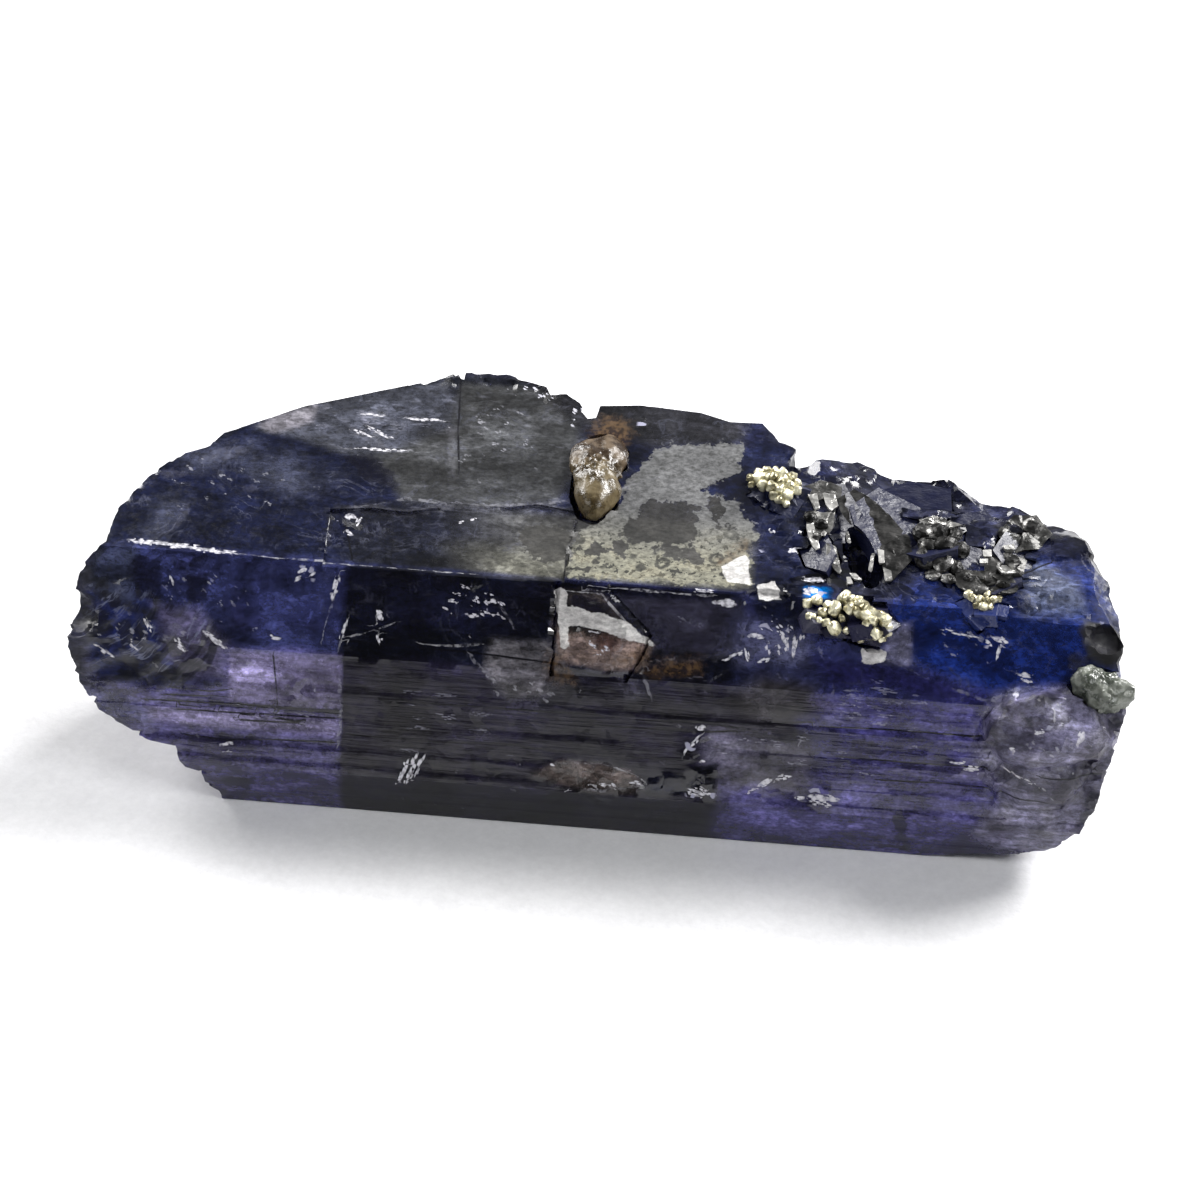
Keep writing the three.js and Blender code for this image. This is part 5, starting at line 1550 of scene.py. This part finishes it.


# Each plate: corners, thickness, height of its folds, and how strong the painted glint on its fresh split
# is.
PLATES = (
    ([(5.62, 2.41, 6.60), (6.0, 2.75, 6.68), (6.55, 2.38, 6.64), (7.0, 1.83, 6.52), (7.3, 1.45, 6.44),
      (6.78, 0.98, 6.36), (6.07, 1.50, 6.42), (5.74, 1.95, 6.52)],
     0.16, 0.035, 0.02),
    ([(6.75, 1.02, 6.37), (7.3, 1.47, 6.42), (7.42, 1.38, 6.38), (7.55, 0.68, 6.32), (7.24, 0.2, 6.2),
      (7.07, -0.12, 6.14), (6.86, 0.21, 6.2), (6.74, 0.7, 6.32)],
     0.14, 0.03, 0.0),
    ([(4.7, 2.75, 6.64), (5.2, 3.0, 6.68), (5.85, 2.75, 6.66), (5.64, 2.41, 6.60), (5.34, 2.4, 6.58),
      (5.0, 2.25, 6.54)],
     0.12, 0.05, 0.12),
    ([(5.24, 2.55, 6.66), (5.55, 2.5, 6.68), (5.66, 2.15, 6.58), (5.48, 2.0, 6.54), (5.35, 2.2, 6.58)],
     0.1, 0.03, 0.8),
    ([(4.88, 2.48, 6.62), (5.12, 2.5, 6.64), (5.22, 2.05, 6.54), (5.1, 2.02, 6.52)], 0.08, 0.03, 0.7),
    ([(4.86, 1.95, 6.52), (5.6, 2.0, 6.52), (5.58, 1.5, 6.42), (5.4, 1.15, 6.38), (4.97, 1.35, 6.42)],
     0.14, 0.09, 0.3),
    ([(4.92, 1.45, 6.50), (5.1, 1.5, 6.50), (5.32, 0.75, 6.36), (5.2, 0.65, 6.32), (5.0, 1.1, 6.42)],
     0.1, 0.03, 0.8),
    ([(5.45, 0.95, 6.40), (5.7, 0.85, 6.34), (5.9, 0.05, 6.16), (5.75, 0.1, 6.16), (5.5, 0.45, 6.28)],
     0.1, 0.05, 0.2),
    ([(5.82, 1.58, 6.36), (5.96, 1.45, 6.36), (6.05, 1.15, 6.24), (5.95, 1.18, 6.24)], 0.06, 0.02, 1.0),
    ([(6.05, 0.12, 6.16), (6.22, 0.12, 6.18), (6.4, -0.08, 6.12), (6.2, -0.05, 6.12)], 0.06, 0.02, 1.0),
    ([(6.0, 0.0, 6.12), (6.1, 0.0, 6.14), (6.18, -0.2, 6.08), (6.05, -0.2, 6.08)], 0.06, 0.02, 0.8),
    ([(6.55, 0.85, 6.24), (6.63, 0.82, 6.24), (6.6, 0.25, 6.10), (6.5, 0.35, 6.10)], 0.06, 0.02, 0.6),
    ([(6.68, 0.85, 6.38), (6.84, 0.8, 6.38), (6.88, 0.42, 6.30), (6.75, 0.4, 6.30)], 0.08, 0.02, 0.95),
    ([(6.85, 0.3, 6.26), (7.05, 0.22, 6.24), (7.1, -0.05, 6.18), (6.92, -0.08, 6.16)], 0.08, 0.05, 0.5),
    ([(9.5, 1.75, 6.42), (9.85, 2.35, 6.5), (10.4, 2.4, 6.48), (10.85, 1.9, 6.42), (10.5, 1.35, 6.34),
      (9.8, 1.15, 6.36)],
     0.16, 0.12, 0.06),
    ([(9.2, 1.0, 6.32), (9.75, 1.2, 6.38), (10.25, 1.0, 6.32), (10.15, 0.35, 6.22), (9.6, 0.2, 6.22),
      (9.25, 0.5, 6.24)],
     0.16, 0.12, 0.05),
    ([(8.55, 0.5, 6.22), (9.2, 0.45, 6.24), (9.9, 0.35, 6.22), (10.1, -0.1, 6.14), (9.6, -0.25, 6.12),
      (9.0, -0.25, 6.12), (8.6, -0.05, 6.12)],
     0.16, 0.11, 0.05),
    ([(9.17, 1.02, 6.44), (9.38, 1.06, 6.44), (9.4, 0.85, 6.40), (9.2, 0.82, 6.40)], 0.1, 0.01, 0.9),
    ([(9.12, 0.75, 6.38), (9.32, 0.78, 6.38), (9.3, 0.64, 6.36), (9.12, 0.62, 6.36)], 0.1, 0.01, 0.9),
    ([(9.5, 0.55, 6.36), (9.8, 0.62, 6.36), (10.0, 0.42, 6.28), (9.7, 0.34, 6.28)], 0.1, 0.05, 0.9),
    ([(9.62, 1.2, 6.46), (9.9, 1.32, 6.46), (9.95, 1.16, 6.42), (9.7, 1.08, 6.42)], 0.1, 0.05, 0.7),
    ([(8.7, 1.9, 6.44), (8.05, 2.1, 6.50), (7.6, 1.95, 6.46), (7.75, 1.75, 6.42), (8.3, 1.72, 6.42)],
     0.1, 0.08, 0.35),
)
# Each crumpled lump: middle and radius.
LUMPS = (
    ((7.78, 1.55, 6.38), 0.24), ((8.12, 1.62, 6.38), 0.26), ((8.5, 1.55, 6.36), 0.22),
    ((7.92, 1.18, 6.36), 0.25), ((8.3, 1.12, 6.38), 0.30), ((8.65, 1.08, 6.34), 0.20),
    ((7.85, 0.72, 6.26), 0.24), ((8.24, 0.62, 6.26), 0.27), ((8.56, 0.55, 6.22), 0.20),
    ((8.05, 0.28, 6.14), 0.16), ((8.4, 0.2, 6.14), 0.16), ((5.0, 1.75, 6.5), 0.16),
    ((5.3, 1.5, 6.46), 0.15), ((5.2, 1.1, 6.4), 0.13), ((10.3, 2.0, 6.48), 0.2),
    ((9.7, 0.05, 6.2), 0.14), ((9.9, 0.75, 6.34), 0.18), ((8.9, 0.2, 6.18), 0.13),
)
luck = np.random.default_rng(7)
core, core_faces = merged_copy("graphite_flakes")
low, high = (np.array(corner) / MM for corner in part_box("graphite_flakes"))
graphite_points = [core]
graphite_faces = core_faces.tolist()
fresh_glint = [np.zeros(len(core))]
stone = [np.ones(len(core))]
count = len(core)
plate_faces = ball_faces(2 * PLATE_RINGS - 1, PLATE_SPOKES)
for number, (corners, thick, bumps, split) in enumerate(PLATES):
    graphite_points.append(sheet(np.array(corners) + SHIFT, thick, bumps, 200 + 20 * number))
    graphite_faces += [[corner + count for corner in face] for face in plate_faces]
    fresh_glint.append(np.full(len(graphite_points[-1]), split))
    stone.append(np.zeros(len(graphite_points[-1])))
    count += len(graphite_points[-1])
lump_faces = ball_faces(*LUMP_GRID)
for number, (centre, radius) in enumerate(LUMPS):
    radii = radius * luck.uniform(0.85, 1.3, 3) * (1.05, 0.95, 0.75)
    graphite_points.append(crumple(np.array(centre) + SHIFT, radii, 700 + 20 * number))
    # painted glints on random facets of each lump
    split = ease(cloud(graphite_points[-1], 0.22, 900 + number), 0.35, 0.6)
    graphite_faces += [[corner + count for corner in face] for face in lump_faces]
    fresh_glint.append(0.75 * split)
    stone.append(np.zeros(len(graphite_points[-1])))
    count += len(graphite_points[-1])

graphite_finish, tree, shader, _ = new_material("graphite")
place = in_mm(tree)
smudge = grain(tree, place, 3.0, 4.0, 0.6)
folds = grain(tree, in_mm(tree, (1, 2.2, 4)), 2.4, 3.0, 0.6)
fresh_glint_layer = add(tree, "ShaderNodeAttribute", attribute_name="fresh_glint").outputs["Fac"]
base = blend(tree, fade(tree, smudge, 0.3, 0.7), (0.008, 0.008, 0.008), (0.048, 0.047, 0.046))
# painted glint: fresh splits and lump facets turn pale
shine = maths(tree, "MULTIPLY", fresh_glint_layer, fade(tree, smudge, 0.25, 0.6, 0.6, 1.0))
base = blend(tree, shine, base, (0.72, 0.71, 0.68))
stone_layer = add(tree, "ShaderNodeAttribute", attribute_name="stone").outputs["Fac"]
base = blend(tree, stone_layer, base, (0.008, 0.010, 0.034))
tree.links.new(base, shader.inputs["Base Color"])
tree.links.new(times(tree, maths(tree, "SUBTRACT", 1.0, stone_layer), 0.75), shader.inputs["Metallic"])
tree.links.new(fade(tree, smudge, 0.3, 0.75, 0.28, 0.50), shader.inputs["Roughness"])
bump = add(tree, "ShaderNodeBump", {"Height": folds, "Strength": 0.5, "Distance": 0.00008})
tree.links.new(bump.outputs[0], shader.inputs["Normal"])
ROOM_BELOW, ROOM_ABOVE = 0.05, 0.08
points = np.clip(np.vstack(graphite_points), low - ROOM_BELOW, high + ROOM_ABOVE)
graphite = new_piece(
    "graphite_nest", points, graphite_faces, graphite_finish, "graphite_flakes", 20,
)
layer = graphite.data.attributes.new("fresh_glint", "FLOAT", "POINT")
layer.data.foreach_set("value", np.concatenate(fresh_glint).astype(np.float32))
layer = graphite.data.attributes.new("stone", "FLOAT", "POINT")
layer.data.foreach_set("value", np.concatenate(stone).astype(np.float32))
print("graphite faces:", len(graphite.data.polygons))

# %% [markdown]
# ## Pyrite: clusters of tiny nuggets
# Each pyrite cluster is a crust of blunt brassy nuggets, a seventh to a third of a millimetre across, with
# dark gaps between them. A nugget is a ball pressed towards a cube, as pyrite grows in cubes, with its own
# place, turn and dents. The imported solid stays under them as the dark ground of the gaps.

# %% Pyrite clusters
NUGGET_GRID = (9, 14)


def nugget(centre, radius, seed):
    """A blunt cube: in each direction the reach lies between a ball's and a cube's. It is then turned."""
    luck = np.random.default_rng(seed)
    ball = ball_directions(*NUGGET_GRID)
    cube = 1 / np.abs(ball).max(axis=1)
    reach = (1 + 0.62 * (np.minimum(cube, 1.45) - 1)) * (1 + 0.20 * shards(ball + seed, 0.9, seed))
    points = ball * reach[:, None] * radius * luck.uniform(0.75, 1.15, 3)
    for axis, angle in enumerate(luck.uniform(-0.8, 0.8, 3)):
        a, b = (axis + 1) % 3, (axis + 2) % 3
        c, s = np.cos(angle), np.sin(angle)
        first, second = points[:, a].copy(), points[:, b].copy()
        points[:, a], points[:, b] = c * first - s * second, s * first + c * second
    return points + centre


pyrite_finish, tree, shader, _ = new_material("pyrite")
place = in_mm(tree)
tarnish = grain(tree, place, 3.5, 4.0, 0.6)
ground = add(tree, "ShaderNodeAttribute", attribute_name="ground").outputs["Fac"]
brass = blend(tree, fade(tree, tarnish, 0.35, 0.65), (0.30, 0.27, 0.16), (0.88, 0.84, 0.62))
ground_colour = add(tree, "ShaderNodeAttribute", attribute_name="ground_colour").outputs["Vector"]
tree.links.new(blend(tree, ground, brass, ground_colour), shader.inputs["Base Color"])
tree.links.new(times(tree, maths(tree, "SUBTRACT", 1.0, ground), 0.7), shader.inputs["Metallic"])
tree.links.new(fade(tree, tarnish, 0.3, 0.7, 0.25, 0.45), shader.inputs["Roughness"])
gritty = grain(tree, place, 12.0, 2.0)
bump = add(tree, "ShaderNodeBump", {"Height": gritty, "Strength": 0.5, "Distance": 0.00003})
tree.links.new(bump.outputs[0], shader.inputs["Normal"])
# Each nugget: x, y, z and radius.
NUGGETS = {
    "pyrite_upper": (
        (3.50, 2.78, 6.76, 0.11), (3.68, 2.98, 6.78, 0.13), (3.87, 3.02, 6.80, 0.12),
        (4.05, 3.02, 6.80, 0.13), (4.25, 2.95, 6.82, 0.13), (4.45, 2.84, 6.80, 0.12),
        (4.62, 2.68, 6.78, 0.12), (3.66, 2.70, 6.80, 0.14), (3.86, 2.72, 6.84, 0.13),
        (4.06, 2.70, 6.86, 0.14), (4.26, 2.64, 6.84, 0.14), (4.46, 2.54, 6.80, 0.13),
        (4.62, 2.44, 6.72, 0.12), (4.02, 2.44, 6.80, 0.13), (4.22, 2.38, 6.78, 0.13),
        (4.40, 2.26, 6.72, 0.13), (3.80, 2.48, 6.80, 0.12), (4.24, 2.14, 6.64, 0.11),
        (4.08, 2.22, 6.70, 0.10), (3.52, 2.56, 6.74, 0.09), (4.50, 3.02, 6.72, 0.09),
        (4.40, 2.06, 6.60, 0.08),
    ),
    "pyrite_lower": (
        (5.14, -0.80, 5.88, 0.11), (5.36, -0.72, 5.92, 0.13), (5.62, -0.84, 5.92, 0.10),
        (5.80, -0.98, 5.90, 0.17), (5.52, -1.06, 5.86, 0.12), (5.26, -1.16, 5.76, 0.12),
        (5.44, -1.28, 5.74, 0.10), (5.82, -1.38, 5.66, 0.16), (5.62, -1.26, 5.72, 0.11),
        (6.12, -1.38, 5.62, 0.09), (5.98, -1.16, 5.80, 0.08), (5.96, -0.66, 6.02, 0.12),
        (6.12, -0.74, 6.02, 0.15), (6.30, -0.84, 6.00, 0.14), (6.48, -0.92, 5.98, 0.15),
        (6.17, -0.96, 5.95, 0.13), (6.34, -1.06, 5.93, 0.14), (6.52, -1.12, 5.90, 0.13),
        (6.66, -0.98, 5.93, 0.13), (6.84, -1.04, 5.88, 0.13), (6.98, -1.12, 5.80, 0.13),
        (7.08, -1.20, 5.66, 0.12), (7.08, -1.24, 5.52, 0.10), (6.72, -1.20, 5.82, 0.11),
        (6.56, -1.28, 5.78, 0.09), (6.80, -1.36, 5.56, 0.17), (6.96, -1.36, 5.44, 0.10),
        (6.46, -1.44, 5.46, 0.09), (6.05, -0.52, 6.02, 0.09), (6.36, -0.66, 6.02, 0.09),
    ),
    "pyrite_right": (
        (8.90, -0.28, 6.08, 0.10), (9.02, -0.42, 6.10, 0.10), (9.16, -0.50, 6.12, 0.12),
        (9.32, -0.52, 6.12, 0.10), (9.48, -0.48, 6.12, 0.12), (9.26, -0.66, 6.06, 0.11),
        (9.62, -0.40, 6.12, 0.08), (9.42, -0.64, 6.06, 0.08), (9.10, -0.62, 6.04, 0.07),
        (9.34, -0.30, 6.16, 0.07),
    ),
}
# The dark ground in the gaps takes the colour of the crystal round each cluster.
GROUNDS = {
    "pyrite_upper": (0.009, 0.012, 0.040), "pyrite_lower": (0.012, 0.012, 0.035),
    "pyrite_right": (0.008, 0.018, 0.100),
}
nugget_faces = ball_faces(*NUGGET_GRID)
for number, (node, places) in enumerate(NUGGETS.items()):
    low, high = (np.array(corner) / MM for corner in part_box(node))
    core, core_faces = merged_copy(node)
    middle = core.mean(axis=0)
    parts = [middle + (core - middle) * (1.12, 1.12, 0.70)]
    faces = core_faces.tolist()
    count = len(core)
    for order, (x, y, z, radius) in enumerate(places):
        parts.append(nugget(np.array((x, y, z)) + SHIFT, radius, 300 + 100 * number + order))
        faces += [[corner + count for corner in face] for face in nugget_faces]
        count += len(parts[-1])
    points = np.clip(np.vstack(parts), low - ROOM_ABOVE, high + ROOM_ABOVE)
    heap = new_piece(node + "_nuggets", points, faces, pyrite_finish, node, 40)
    layer = heap.data.attributes.new("ground", "FLOAT", "POINT")
    layer.data.foreach_set("value", (np.arange(count) < len(core)).astype(np.float32))
    layer = heap.data.attributes.new("ground_colour", "FLOAT_VECTOR", "POINT")
    layer.data.foreach_set("vector", np.tile(GROUNDS[node], count).astype(np.float32))
    print(heap.name, len(heap.data.polygons), "faces")
